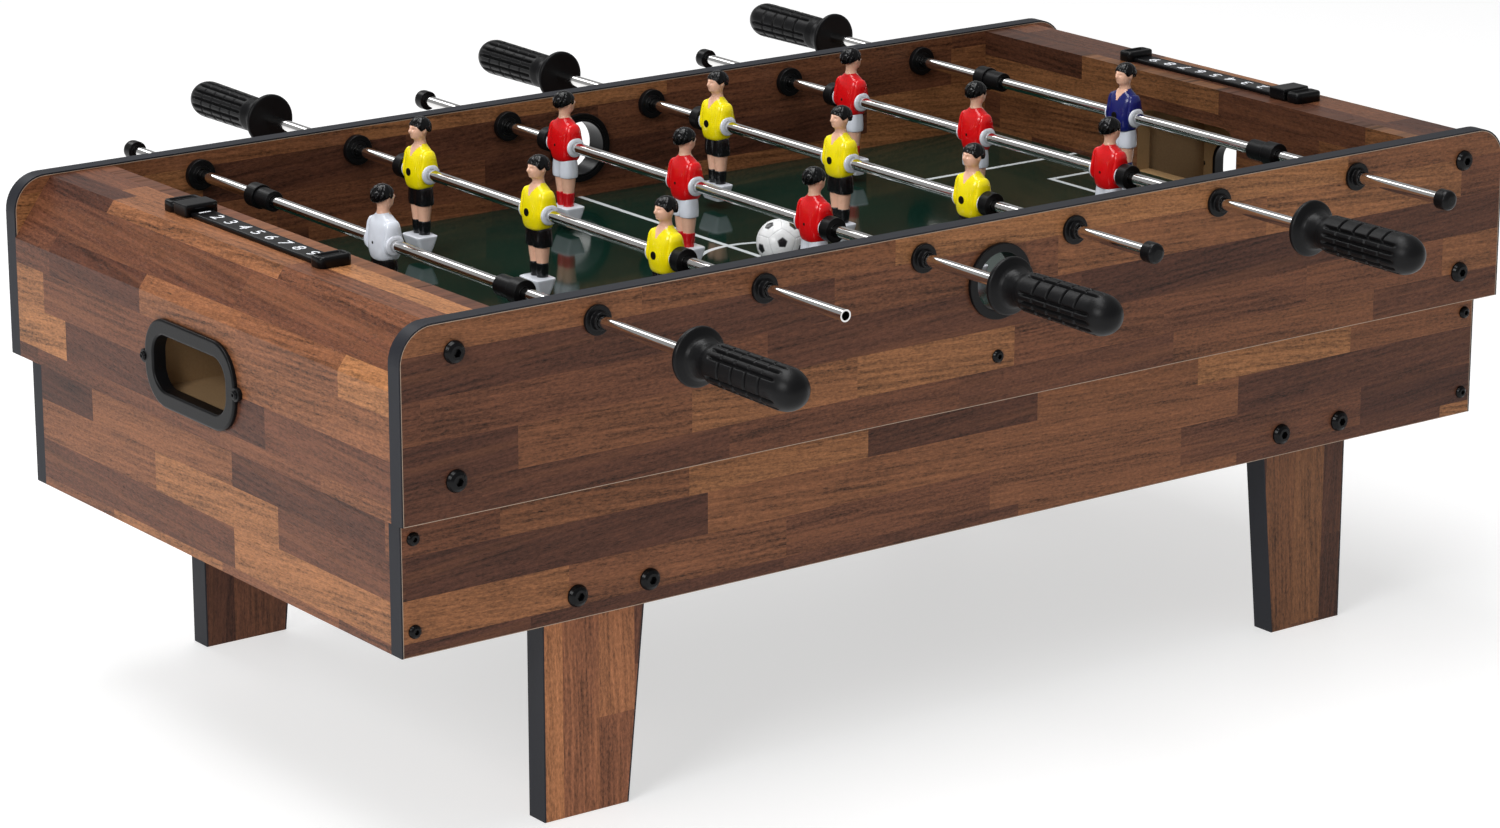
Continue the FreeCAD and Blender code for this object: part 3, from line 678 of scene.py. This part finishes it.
for index in range(6):
    rod = "rod_%d" % (index + 1)
    middle = (rodXs[index], table["rodSlides"][index], table["rodHeight"])
    rings = ("stopSleeve", "stopCollar") if index in (0, 5) else ("bumper",)
    stops = [inPlace(spun(fittings[ring]), middle, (1, hand, 1)) for hand in (-1, 1) for ring in rings]
    makePiece(rod + "_buffers", stops, [blackRubber], rod, (rod + "_stops",))
    if index != 1:
        tip = turned(softened(fittings["cap"], 0.3)[3:-3], 48, "y")
        place = (middle[0], middle[1] - gripSides[index] * fittings["capSeat"], middle[2])
        blackPiece(rod + "_end_cap", [inPlace(tip, place, (1, gripSides[index], 1))], rod, rod + "_cap")
blackPiece("goal_rims", bezelParts(-1) + bezelParts(1), "frame", "goal_bezels")
print("fittings turned")


# playing figures

figure = {
    "size": 0.001,
    "around": 64,
    "kits": {
        "white": {"shirt": (0.76, 0.80, 0.88), "shorts": (0.006, 0.006, 0.007),
                  "socks": (0.006, 0.006, 0.007)},
        "yellow": {"shirt": (0.98, 0.82, 0.003), "shorts": (0.005, 0.005, 0.006),
                   "socks": (0.005, 0.005, 0.006)},
        "red": {"shirt": (0.70, 0.004, 0.007), "shorts": (0.72, 0.76, 0.84),
                "socks": (0.52, 0.006, 0.010)},
        "navy": {"shirt": (0.008, 0.012, 0.130), "shorts": (0.72, 0.76, 0.84),
                 "socks": (0.020, 0.024, 0.110)},
    },
    "skin": (0.86, 0.50, 0.35),
    "hair": (0.0030, 0.0030, 0.0035),
    "white": (0.74, 0.77, 0.84),
    # hole: painted shade, a dark matte disc on the chest in place of the shaded recess of the screw hole; the
    # back screw head uses it too
    "hole": (0.006, 0.005, 0.003),
}


def paintMaterial(name, colour, rough=0.17, shine=0.42, coat=0.15):
    # glossy enamel over moulded plastic: slight pooling of tone and a faint ripple
    finish = Finish("enamel_" + name)
    pool = finish.cloud(finish.place, 160.0, 2.0, 0.5)
    ripple = finish.cloud(finish.place, 420.0, 1.0, 0.5)
    tint = finish.blend(1.0, (*colour, 1), 0.88 + pool * 0.22, "MULTIPLY")
    return finish.close(colour=tint, rough=rough + pool * 0.08, normal=finish.relief(ripple, 0.00012, 0.35),
                        coat=coat, coatRough=0.06, shine=shine)


skinPaint = paintMaterial("skin", figure["skin"], 0.24)
hairPaint = paintMaterial("hair", figure["hair"], 0.07, 0.22, 0.0)
whitePaint = paintMaterial("white", figure["white"])
# painted shade for the chest hole, also the paint of the screw head on the back
holeShadeAndScrewPaint = paintMaterial("hole", figure["hole"], 0.6, 0.1, 0.0)


def splitLegs(depth, wide):
    # pulls the front and back in along the middle so one form reads as two legs
    def shape(points, angle):
        dent = depth * np.exp(-(points[..., 1] / wide) ** 2)
        middle = points[..., 0].mean(1, keepdims=True)
        points[..., 0] = middle + (points[..., 0] - middle) * (1 - dent)
        return points
    return shape


def faceRelief(points, angle):
    # soft nose, brow, eye hollows, lips and chin as bumps that fade with distance from their middles
    x, y, z = points[..., 0], points[..., 1], points[..., 2]
    front = np.clip(np.cos(angle), 0, 1) ** 0.5
    bump = 1.45 * np.exp(-(y / 0.85) ** 2 - ((z - 21.5) / 1.25) ** 2)
    bump += 0.55 * np.exp(-(y / 0.75) ** 2 - ((z - 22.8) / 1.0) ** 2)
    bump += 0.38 * np.exp(-(y / 2.8) ** 2 - ((z - 23.9) / 0.55) ** 2)
    bump -= 0.55 * np.exp(-((np.abs(y) - 1.75) / 0.85) ** 2 - ((z - 22.8) / 0.7) ** 2)
    bump += 0.34 * np.exp(-(y / 1.3) ** 2 - ((z - 19.7) / 0.35) ** 2)
    bump += 0.45 * np.exp(-(y / 1.3) ** 2 - ((z - 18.2) / 0.7) ** 2)
    points[..., 0] = x + bump * front
    return points


def hairCap(around, rows):
    # an egg-shaped shell whose rim sits at the brow, dips into sideburns and falls to the nape, with combed
    # ridges
    angle = np.linspace(-np.pi, np.pi, around, endpoint=False)[None, :]
    share = np.linspace(0.03, 1, rows)[:, None]
    side = np.degrees(np.abs(angle))
    rim = np.radians(103 - 27 * np.cos(angle) + 17 * np.exp(-((side - 62) / 13) ** 2))
    polar = share * rim
    comb = (0.17 * np.sin(angle * 13 + polar * 6) + 0.11 * np.sin(angle * 29 - polar * 9)) * np.sin(polar)
    tuck = np.where(share > 0.94, 1 - 2.4 * (share - 0.94), 1.0)
    x = -0.45 + (5.95 + comb) * tuck * np.sin(polar) * np.cos(angle)
    y = (5.55 + comb) * tuck * np.sin(polar) * np.sin(angle)
    z = 23.25 + (5.65 + comb * 0.3) * tuck * np.cos(polar)
    return closedGrid(np.stack([x, y, z], -1), np.array([-0.45, 0, 28.9]), np.array([-0.35, 0, 22.6]))


def mirroredY(part):
    verts, faces = part
    return verts * np.array([1, -1, 1]), faces


def figureParts():
    # one figure facing +X in millimetres about the rod's axis; the number after each part picks its paint
    around = figure["around"]
    torso = ringLoft([
        (-9.0, 0.3, 0, 2.0, 3.0, 2.3), (-8.6, 0.3, 0, 4.6, 5.6, 2.5), (-7.2, 0.4, 0, 6.0, 7.3, 2.6),
        (-4.0, 0.4, 0, 6.8, 8.2, 2.6), (-0.5, 0.4, 0, 7.0, 8.5, 2.6), (3.0, 0.3, 0, 6.7, 8.4, 2.6),
        (7.0, 0.2, 0, 6.1, 8.7, 2.5), (10.0, 0.1, 0, 5.3, 8.6, 2.4), (12.0, 0.0, 0, 4.4, 7.2, 2.3),
        (13.4, -0.1, 0, 3.8, 5.1, 2.2), (14.6, -0.1, 0, 3.2, 3.7, 2.1), (15.2, -0.1, 0, 2.7, 3.0, 2.0),
    ], 56, around * 2)
    verts, faces = torso
    middle = faceMiddles(verts, faces)
    rise = middle[:, 2] - 8.6
    neckline = (middle[:, 0] > 1.0) & (rise > 0) & (np.abs(middle[:, 1]) < rise * 0.66)
    parts = [(verts, faces, np.where(neckline, 1, 0))]
    for hand in (1, -1):
        arm = ringLoft([
            (12.2, 0, 6.4, 0.6, 0.6, 2), (11.5, 0, 7.3, 3.0, 1.8, 2), (9.2, 0, 8.2, 4.0, 2.1, 2),
            (6.0, 0, 8.5, 4.5, 2.0, 2.1), (2.6, 0, 8.6, 5.2, 1.7, 2.2), (-0.5, 0, 8.6, 5.5, 1.5, 2.2),
            (-3.2, 0, 8.3, 4.7, 1.4, 2.2), (-5.0, 0, 7.7, 2.6, 1.0, 2), (-5.6, 0, 7.1, 0.6, 0.4, 2),
        ], 36, 40)
        cuff = hoop([(3.02, 8.0), (4.6, 8.6), (5.1, 9.3), (5.25, 9.9), (5.1, 10.35), (4.7, 10.65),
                     (4.1, 10.8), (3.4, 10.8), (3.02, 10.7)], 48, "y")
        parts.append((*(arm if hand > 0 else mirroredY(arm)), 0))
        parts.append((*(cuff if hand > 0 else mirroredY(cuff)), 2))
    head = ringLoft([
        (12.6, -0.3, 0, 2.4, 2.4, 2), (14.4, -0.2, 0, 3.2, 3.3, 2), (16.0, -0.1, 0, 3.0, 3.05, 2),
        (17.2, 0.3, 0, 3.3, 3.1, 2), (18.2, 0.9, 0, 3.8, 3.5, 2.1), (19.8, 0.9, 0, 4.3, 4.1, 2.1),
        (21.8, 0.6, 0, 4.75, 4.5, 2.1), (24.0, 0.2, 0, 4.8, 4.5, 2), (25.6, -0.3, 0, 4.0, 3.9, 2),
        (26.8, -0.4, 0, 2.8, 2.8, 2), (27.4, -0.4, 0, 1.2, 1.2, 2),
    ], 60, around, faceRelief)
    parts.append((*head, 1))
    for hand in (1, -1):
        ear = ringLoft([
            (20.6, 0.0, 0, 0.3, 0.2, 2), (21.2, 0.0, 0, 0.9, 0.5, 2), (22.4, -0.1, 0, 1.2, 0.7, 2),
            (23.4, -0.2, 0, 0.9, 0.5, 2), (23.8, -0.2, 0, 0.3, 0.2, 2),
        ], 16, 16)
        parts.append((*shifted(ear, 0, hand * 4.75, 0), 1))
    parts.append((*hairCap(96, 30), 3))
    shorts = ringLoft([
        (-5.5, 0, 0, 3.0, 5.5, 2.6), (-7.0, 0, 0, 4.5, 7.0, 2.7), (-10.0, 0, 0, 5.0, 7.6, 2.8),
        (-14.0, 0, 0, 5.2, 7.8, 2.8), (-16.4, 0, 0, 5.1, 7.7, 2.8), (-17.2, 0, 0, 4.7, 7.3, 2.8),
        (-17.4, 0, 0, 3.2, 5.6, 2.8),
    ], 34, around, splitLegs(0.22, 1.3))
    parts.append((*shorts, 4))
    legs = ringLoft([
        (-15.5, 0, 0, 3.2, 5.6, 2.5), (-17.5, 0, 0, 4.1, 6.5, 2.5), (-20.5, 0, 0, 4.0, 6.3, 2.5),
        (-24.0, 0, 0, 3.5, 5.9, 2.5), (-26.4, 0, 0, 3.3, 5.6, 2.5),
    ], 24, around, splitLegs(0.55, 1.5))
    parts.append((*legs, 1))
    socks = ringLoft([
        (-25.4, 0, 0, 3.2, 5.5, 2.5), (-25.8, 0, 0, 3.65, 6.0, 2.5), (-26.5, 0, 0, 3.7, 6.05, 2.5),
        (-29.0, 0, 0, 3.65, 5.9, 2.5), (-32.0, 0, 0, 3.3, 5.5, 2.5), (-34.5, 0, 0, 3.2, 5.4, 2.5),
    ], 28, around, splitLegs(0.50, 1.5))
    parts.append((*socks, 5))
    foot = ringLoft([
        (-32.9, 1.0, 0, 4.6, 6.8, 6), (-33.2, 1.1, 0, 5.9, 8.0, 7), (-33.8, 1.1, 0, 6.25, 8.35, 8),
        (-36.0, 1.15, 0, 5.6, 8.05, 8), (-39.0, 1.2, 0, 4.45, 7.6, 8), (-41.3, 1.25, 0, 3.45, 7.1, 8),
        (-41.9, 1.25, 0, 3.0, 6.7, 7), (-42.0, 1.25, 0, 1.8, 5.2, 6),
    ], 40, around * 2)
    parts.append((*foot, 2))
    # a dark disc just proud of the chest: painted shade standing in for the screw hole's recess
    hole = turned([(0.3, 6.6), (1.7, 6.8), (2.05, 7.3), (2.0, 7.56), (1.7, 7.62), (0.9, 7.60),
                   (0.1, 7.58)], 32, "x")
    parts.append((*shifted(hole, 0, 0, 0.6), 6))
    screw = turned([(0.2, -6.0), (0.75, -6.3), (0.75, -6.62), (0.5, -6.72), (0.1, -6.76)], 20, "x")
    parts.append((*shifted(screw, 0, 0, 0.6), 6))
    return parts


baseFigure = figureParts()


def placedFigure(name, kit, x, y, facing, body, stands):
    # the shared figure scaled to metres, turned to face along facing and set on its rod
    colours = [kitPaint[kit]["shirt"], skinPaint, whitePaint, hairPaint, kitPaint[kit]["shorts"],
               kitPaint[kit]["socks"], holeShadeAndScrewPaint]
    scale = np.array([facing, facing, 1.0]) * figure["size"]
    place = np.array([x, y, table["rodHeight"]])
    parts = [(verts * scale + place, faces, paint) for verts, faces, paint in baseFigure]
    return makePiece(name, parts, colours, body, stands)


kitPaint = {kit: {part: paintMaterial(kit + "_" + part, colour) for part, colour in paints.items()}
            for kit, paints in figure["kits"].items()}
rodKits = ["white", "yellow", "red", "yellow", "red", "navy"]
for index, kit in enumerate(rodKits):
    rod = "rod_%d" % (index + 1)
    facing = -gripSides[index]
    spots = [0.0] if index in (0, 5) else [-table["playerSpacing"], 0.0, table["playerSpacing"]]
    for place, spot in enumerate(spots):
        placedFigure("%s_figure_%d" % (rod, place + 1), kit, rodXs[index], spot + table["rodSlides"][index],
                     facing, rod, (rod + "_figures",))
print("figures made")


# grips

grip = {
    "long": 77.0,
    "blockHalfAngle": 30.0,
    "ribPitch": 24.0,
    "grooveDepth": 1.75,
    "start": 18.0,
    "end": 68.0,
    "around": 192,
    "cells": 5,
    "neckPoint": 13,
    "turns": [5.0, 116.0, 40.0, 116.0, 65.0, 28.0],
    "profile": [(3.0, 0.0), (12.6, 0.0), (13.6, 0.3), (14.0, 1.0), (14.0, 2.2), (13.5, 3.0), (12.2, 3.6),
                (10.4, 4.6), (9.3, 6.0), (8.7, 8.0), (8.3, 10.5), (8.35, 13.0), (9.0, 15.2), (9.45, 17.0),
                (9.6, 28.0), (9.8, 45.0), (10.0, 65.0)],
}


def gripSurface():
    # radius follows the profile; two opposite rows of blocks and, between them, two banks of ribs are left
    # standing between grooves, and cross cuts part the blocks
    profile = np.array(grip["profile"])
    step = np.concatenate([[0], np.cumsum(np.hypot(*np.diff(profile, axis=0).T))])
    neck = step[grip["neckPoint"]]
    fine = np.concatenate([np.linspace(0, neck, 60), np.linspace(neck, step[-1], 140)[1:]])
    radius = np.interp(fine, step, profile[:, 0])
    height = np.interp(fine, step, profile[:, 1])
    dome = np.linspace(0, np.pi / 2, 22)[1:-1]
    domeRadius, domeFoot = grip["profile"][-1]
    radius = np.concatenate([radius, domeRadius * np.cos(dome) ** 0.9])
    height = np.concatenate([height, domeFoot + (grip["long"] - domeFoot) * np.sin(dome)])
    angle = np.linspace(0, 2 * np.pi, grip["around"], endpoint=False)[None, :]
    turn = np.mod(np.degrees(angle), 180.0)
    fromBlock = np.minimum(turn, 180.0 - turn)
    ribPlace = np.mod(turn - grip["blockHalfAngle"], grip["ribPitch"])
    toGroove = np.minimum(ribPlace, grip["ribPitch"] - ribPlace)
    toGroove = np.where(fromBlock < grip["blockHalfAngle"], grip["blockHalfAngle"] - fromBlock, toGroove)
    groove = 1 - np.clip((toGroove - 2.2) / 4.2, 0, 1) ** 0.8
    ribbed = grip["end"] - grip["start"]
    along = (height - grip["start"]) / ribbed
    zone = np.clip(along * 20, 0, 1) * np.clip((1 - along) * 20, 0, 1)
    cut = np.abs(np.mod(along * grip["cells"] + 0.5, 1.0) - 0.5) * ribbed / grip["cells"]
    cut = np.where((along > 0.06) & (along < 0.94), 1 - np.clip((cut - 0.50) / 0.30, 0, 1), 0.0)
    across = cut[:, None] * np.where(fromBlock < grip["blockHalfAngle"] - 1, 0.9, 0.35)
    sink = np.maximum(zone[:, None] * groove, across) * grip["grooveDepth"]
    radius = radius[:, None] - sink
    points = aroundAxis(radius, angle, height[:, None], "z")
    return closedGrid(points, np.array([0, 0, 0.0]), np.array([0, 0, grip["long"]]))


gripVerts, gripFaces = gripSurface()
for index in range(6):
    side = gripSides[index]
    turn = math.radians(grip["turns"][index])
    x, y, z = gripVerts[:, 0], side * gripVerts[:, 2], -side * gripVerts[:, 1]
    cosine, sine = math.cos(turn), math.sin(turn)
    placed = np.stack([x * cosine + z * sine, y, z * cosine - x * sine], -1) * 0.001
    placed += np.array([rodXs[index], side * table["gripStart"] + table["rodSlides"][index],
                        table["rodHeight"]])
    rod = "rod_%d" % (index + 1)
    makePiece(rod + "_handle", [(placed, gripFaces, 0)], [blackRubber], rod, (rod + "_grip",))
print("grips moulded")


# ball

ball = {
    "centre": (-0.003, -0.011, 0.2128),
    "radius": 0.012,
    "turn": 24,
    "patchGap": 0.375,
    "patchBlur": 0.006,
    "seam": 0.00016,
    "seamSpread": 0.016,
}


def ballSurface():
    # a sphere on a grid; its patches lie about the twelve corners of an icosahedron, and a point is in a dark
    # patch where its nearest corner is nearer than the next one by a fixed gap, which gives five straight
    # sides; seams sink along the patch borders and where two corners are equally near
    golden = (1 + 5 ** 0.5) / 2
    corners = []
    for a in (-1, 1):
        for b in (-golden, golden):
            corners += [(0, a, b), (a, b, 0), (b, 0, a)]
    corners = np.array(corners) / math.hypot(1, golden)
    turn = np.radians(ball["turn"])
    spin = np.array([[np.cos(turn), 0, np.sin(turn)], [0, 1, 0], [-np.sin(turn), 0, np.cos(turn)]])
    corners = corners @ spin.T
    rows, around = 150, 256
    polar = np.linspace(0, np.pi, rows + 2)[1:-1][:, None]
    angle = np.linspace(0, 2 * np.pi, around, endpoint=False)[None, :]
    unit = np.stack([np.sin(polar) * np.cos(angle), np.sin(polar) * np.sin(angle),
                     np.cos(polar) * np.ones_like(angle)], -1).reshape(-1, 3)
    unit = np.vstack([unit, [[0, 0, 1], [0, 0, -1]]])
    closeness = unit @ corners.T
    order = np.argsort(-closeness, axis=1)
    ranked = np.take_along_axis(closeness, order, 1)
    gap = ranked[:, 0] - ranked[:, 1]
    pentagon = gap - ball["patchGap"]
    dark = 1 / (1 + np.exp(-pentagon / ball["patchBlur"]))
    seamAway = np.where(pentagon < 0, gap, 1.0)
    seamOnHexagon = np.exp(-(seamAway / ball["seamSpread"]) ** 2)
    seamRound = np.exp(-(pentagon / ball["seamSpread"]) ** 2)
    seam = np.maximum(seamOnHexagon, seamRound)
    place = unit * (ball["radius"] - ball["seam"] * seam[:, None])
    inner = rows * around
    grid, pole = place[:inner].reshape(rows, around, 3), place[inner:]
    verts, faces = closedGrid(grid, pole[0], pole[1])
    return verts + np.array(ball["centre"]), faces, dark, seam


ballVerts, ballFaces, dark, seam = ballSurface()


def ballMaterial():
    # the patch and groove attributes of the mesh pick the dark patches and the seams
    finish = Finish("ball_paint")
    patch = Tone(finish, finish.add("ShaderNodeAttribute", {"attribute_name": "patch"}).outputs["Fac"])
    groove = Tone(finish, finish.add("ShaderNodeAttribute", {"attribute_name": "groove"}).outputs["Fac"])
    grime = finish.cloud(finish.place, 240.0, 3.0, 0.6)
    white = finish.blend(groove * 0.55, (0.80, 0.81, 0.82, 1), (0.30, 0.31, 0.33, 1))
    colour = finish.blend(patch, white, (0.010, 0.010, 0.012, 1))
    colour = finish.blend(1.0, colour, 0.90 + grime * 0.15, "MULTIPLY")
    return finish.close(colour=colour, rough=0.22 + grime * 0.12, normal=finish.relief(grime, 0.00006, 0.4),
                        shine=0.5)


ballPiece = makePiece("match_ball", [(ballVerts, ballFaces, 0)], [ballMaterial()], "ball", ("ball",))
for label, values in (("patch", dark), ("groove", seam)):
    spread = ballPiece.data.attributes.new(label, "FLOAT", "POINT")
    spread.data.foreach_set("value", values.astype(np.float32))
print("ball made")


# score counters, in millimetres

score = {
    "barX": 303.5,
    "shift": 4.5,
    "long": 147.0,
    "barWide": 12.0,
    "barHigh": 2.4,
    "capLong": 10.5,
    "capWide": 18.0,
    "capHigh": 5.6,
    "sliderLong": 12.0,
    "sliderHigh": 6.4,
    "clear": 0.3,
    "firstY": 48.6,
    "pitch": 12.55,
    "digit": 9.4,
    "digitWiden": 1.4,
    "digitSink": 0.1,
    "digitThick": 0.06,
}


def trayBlock(halfA, halfB, corner, low, high, rim, sink):
    # a moulded block: sides, a softened brow, a flat rim and a shallow tray inside it
    profile = [(0.5, low), (0.0, low + 0.3), (0.0, high - 1.2), (0.25, high - 0.45), (0.8, high - 0.1),
               (1.3, high), (rim, high), (rim + 0.3, high - 0.2), (rim + 0.5, high - sink + 0.2),
               (rim + 0.9, high - sink)]
    points = outlineSweep(profile, halfA, halfB, corner, 8)
    return closedGrid(points, points[0].mean(0), points[-1].mean(0))


def saddleBlock(halfA, halfB, low, high, channelA, channelHigh, dip):
    # a slab bent over the bar: its cross-section is a closed rounded profile, and the top dips in the middle
    outline = softened([(-halfA, low), (-halfA, high), (halfA, high), (halfA, low), (channelA, low),
                        (channelA, channelHigh), (-channelA, channelHigh), (-channelA, low)], 0.9, 6)
    along = np.linspace(-1, 1, 41)[:, None]
    pull = 1 - 0.05 * np.clip((np.abs(along) - 0.86) / 0.14, 0, 1) ** 2
    a = outline[None, :, 0] * pull
    top = np.clip((outline[None, :, 1] - channelHigh) / (high - channelHigh), 0, 1)
    within = np.clip((halfA - 1.8 - np.abs(a)) / 0.8, 0, 1)
    ribs = 0.22 * (np.abs(np.mod(along * 3.2, 1.0) - 0.5) < 0.2)
    sunk = (dip * np.clip((0.70 - np.abs(along)) / 0.12, 0, 1) - ribs * (np.abs(along) < 0.6)) * within * top
    z = outline[None, :, 1] - sunk - (1 - pull) * 6 * top
    return cappedGrid(np.stack([a, along * halfB * np.ones_like(a), z], -1))


def counterMiddle(side):
    return side * score["barX"] * 0.001, -side * score["shift"] * 0.001, table["coverTop"]


def scoreBarParts(side):
    # a softened strip with a moulded cap on either end
    middle = counterMiddle(side)
    half = score["long"] / 2
    strip = outlineSweep([(0.6, 0.0), (0.0, 0.0), (0.0, 1.5), (0.2, 2.1), (0.7, 2.4), (1.3, 2.4), (1.5, 2.25),
                          (2.0, 2.25)], score["barWide"] / 2, half - 3, 3.0, 8)
    parts = [inPlace(closedGrid(strip, strip[0].mean(0), strip[-1].mean(0)), middle)]
    for end in (-1, 1):
        block = trayBlock(score["capWide"] / 2, score["capLong"] / 2, 3.2, 0.0, score["capHigh"], 1.9, 1.1)
        parts.append(inPlace(shifted(block, 0, end * (half - score["capLong"] / 2), 0), middle))
    return parts


def sliderParts(side):
    # the slider rests against the cap at the low numbers
    rest = score["long"] / 2 - score["capLong"] - score["clear"] - score["sliderLong"] / 2
    block = saddleBlock(score["capWide"] / 2, score["sliderLong"] / 2, score["clear"], score["sliderHigh"],
                        score["barWide"] / 2 + score["clear"], score["barHigh"] + score["clear"], 1.3)
    return [inPlace(shifted(block, 0, -side * rest, 0), counterMiddle(side))]


blackPiece("counter_bars", scoreBarParts(-1) + scoreBarParts(1), "frame", "score_bars")
for side, hand in ((-1, "left"), (1, "right")):
    blackPiece(hand + "_counter", sliderParts(side), hand + "_slider", hand + "_score_slider")


def numberPiece(side):
    # digits 1 to 9 as flat meshes on the bar, reading from the player's own end of the table
    pieces = []
    for digit in range(1, 10):
        curve = bpy.data.curves.new("digit", "FONT")
        curve.body = str(digit)
        curve.size = score["digit"] * 0.001
        curve.align_x, curve.align_y = "CENTER", "CENTER"
        curve.extrude = score["digitThick"] * 0.001
        holder = bpy.data.objects.new("digit", curve)
        bpy.context.scene.collection.objects.link(holder)
        bpy.context.view_layer.update()
        mesh = bpy.data.meshes.new_from_object(holder)
        bpy.data.objects.remove(holder)
        verts = np.empty(len(mesh.vertices) * 3)
        mesh.vertices.foreach_get("co", verts)
        verts = verts.reshape(-1, 3)
        y = (score["firstY"] - (digit - 1) * score["pitch"] + score["shift"]) * 0.001
        top = table["coverTop"] + (score["barHigh"] - score["digitSink"]) * 0.001
        placed = np.stack([verts[:, 1] - score["barX"] * 0.001, y - verts[:, 0] * score["digitWiden"],
                           verts[:, 2] + top], -1)
        if side > 0:
            placed = placed * np.array([-1, -1, 1])
        pieces.append((placed, [list(face.vertices) for face in mesh.polygons], 0))
    return pieces


def numberMaterial():
    finish = Finish("number_print")
    worn = finish.cloud(finish.place, 900.0, 3.0, 0.65)
    colour = finish.blend(worn.ease(0.30, 0.5), (0.36, 0.37, 0.40, 1), (0.80, 0.82, 0.86, 1))
    return finish.close(colour=colour, rough=0.5)


numberPrint = numberMaterial()
for side, name in ((-1, "left_numbers"), (1, "right_numbers")):
    makePiece(name, numberPiece(side), [numberPrint], "frame", (), False)
print("numbers printed")


# floor, lights, camera

studio = {
    "floor": (0.52, 0.52, 0.52, 1),
    "floorGlow": 0.585,
    "world": 0.34,
    "eye": (-1.3870, -1.8498, 0.7916),
    "azimuth": -36.59,
    "elevation": 16.25,
    "lens": 110.8,
    "floorReach": 30,
    "floorLevel": -0.0003,
}

# for each lamp: where it hangs, what it points at, its two sides in metres and its power in watts
lamps = {
    "overhead": ((-0.2, 0.2, 2.2), (0, 0, 0.1), (2.4, 0.8), 40),
    "frontLeft": ((-2.3, -0.9, 1.5), (0, 0, 0.15), (1.0, 1.0), 34),
    "rear": ((-0.25, 2.5, 2.2), (0, 0, 0.25), (0.8, 1.3), 13),
}


def floorMaterial():
    finish = Finish("studio_floor")
    dust = finish.cloud(finish.place, 3.0, 2.0, 0.5)
    colour = finish.blend(dust, studio["floor"], (0.50, 0.50, 0.505, 1))
    return finish.close(colour=colour, rough=0.45 + dust * 0.1, shine=0.3, glow=(1, 1, 1, 1),
                        glowPower=studio["floorGlow"])


floorMesh = bpy.data.meshes.new("floor")
reach, level = studio["floorReach"], studio["floorLevel"]
floorMesh.from_pydata([(-reach, -reach, level), (reach, -reach, level), (reach, reach, level),
                       (-reach, reach, level)], [], [(0, 1, 2, 3)])
floorMesh.materials.append(floorMaterial())
floor = bpy.data.objects.new("floor", floorMesh)
bpy.context.scene.collection.objects.link(floor)

world = bpy.data.worlds.new("studio")
bpy.context.scene.world = world
world.use_nodes = True
world.node_tree.nodes["Background"].inputs["Color"].default_value = (1, 1, 1, 1)
world.node_tree.nodes["Background"].inputs["Strength"].default_value = studio["world"]


def areaLight(name, place, target, size, power):
    # a soft rectangle of light turned to face its target
    light = bpy.data.lights.new(name, "AREA")
    light.shape, light.size, light.size_y, light.energy = "RECTANGLE", size[0], size[1], power
    lamp = bpy.data.objects.new(name, light)
    bpy.context.scene.collection.objects.link(lamp)
    lamp.location = place
    away = Vector(place) - Vector(target)
    lamp.rotation_mode = "QUATERNION"
    lamp.rotation_quaternion = away.to_track_quat("Z", "Y")


for name, (place, target, size, power) in lamps.items():
    areaLight(name, place, target, size, power)

camera = bpy.data.cameras.new("camera")
camera.lens, camera.sensor_width, camera.clip_end = studio["lens"], 36.0, 100.0
eye = bpy.data.objects.new("camera", camera)
bpy.context.scene.collection.objects.link(eye)
azimuth, elevation = math.radians(studio["azimuth"]), math.radians(studio["elevation"])
back = Vector((math.sin(azimuth) * math.cos(elevation), -math.cos(azimuth) * math.cos(elevation),
                  math.sin(elevation)))
eye.location = studio["eye"]
eye.rotation_mode = "QUATERNION"
eye.rotation_quaternion = back.to_track_quat("Z", "Y")
bpy.context.scene.camera = eye
bpy.context.scene.view_settings.view_transform = "Standard"
print("studio ready")
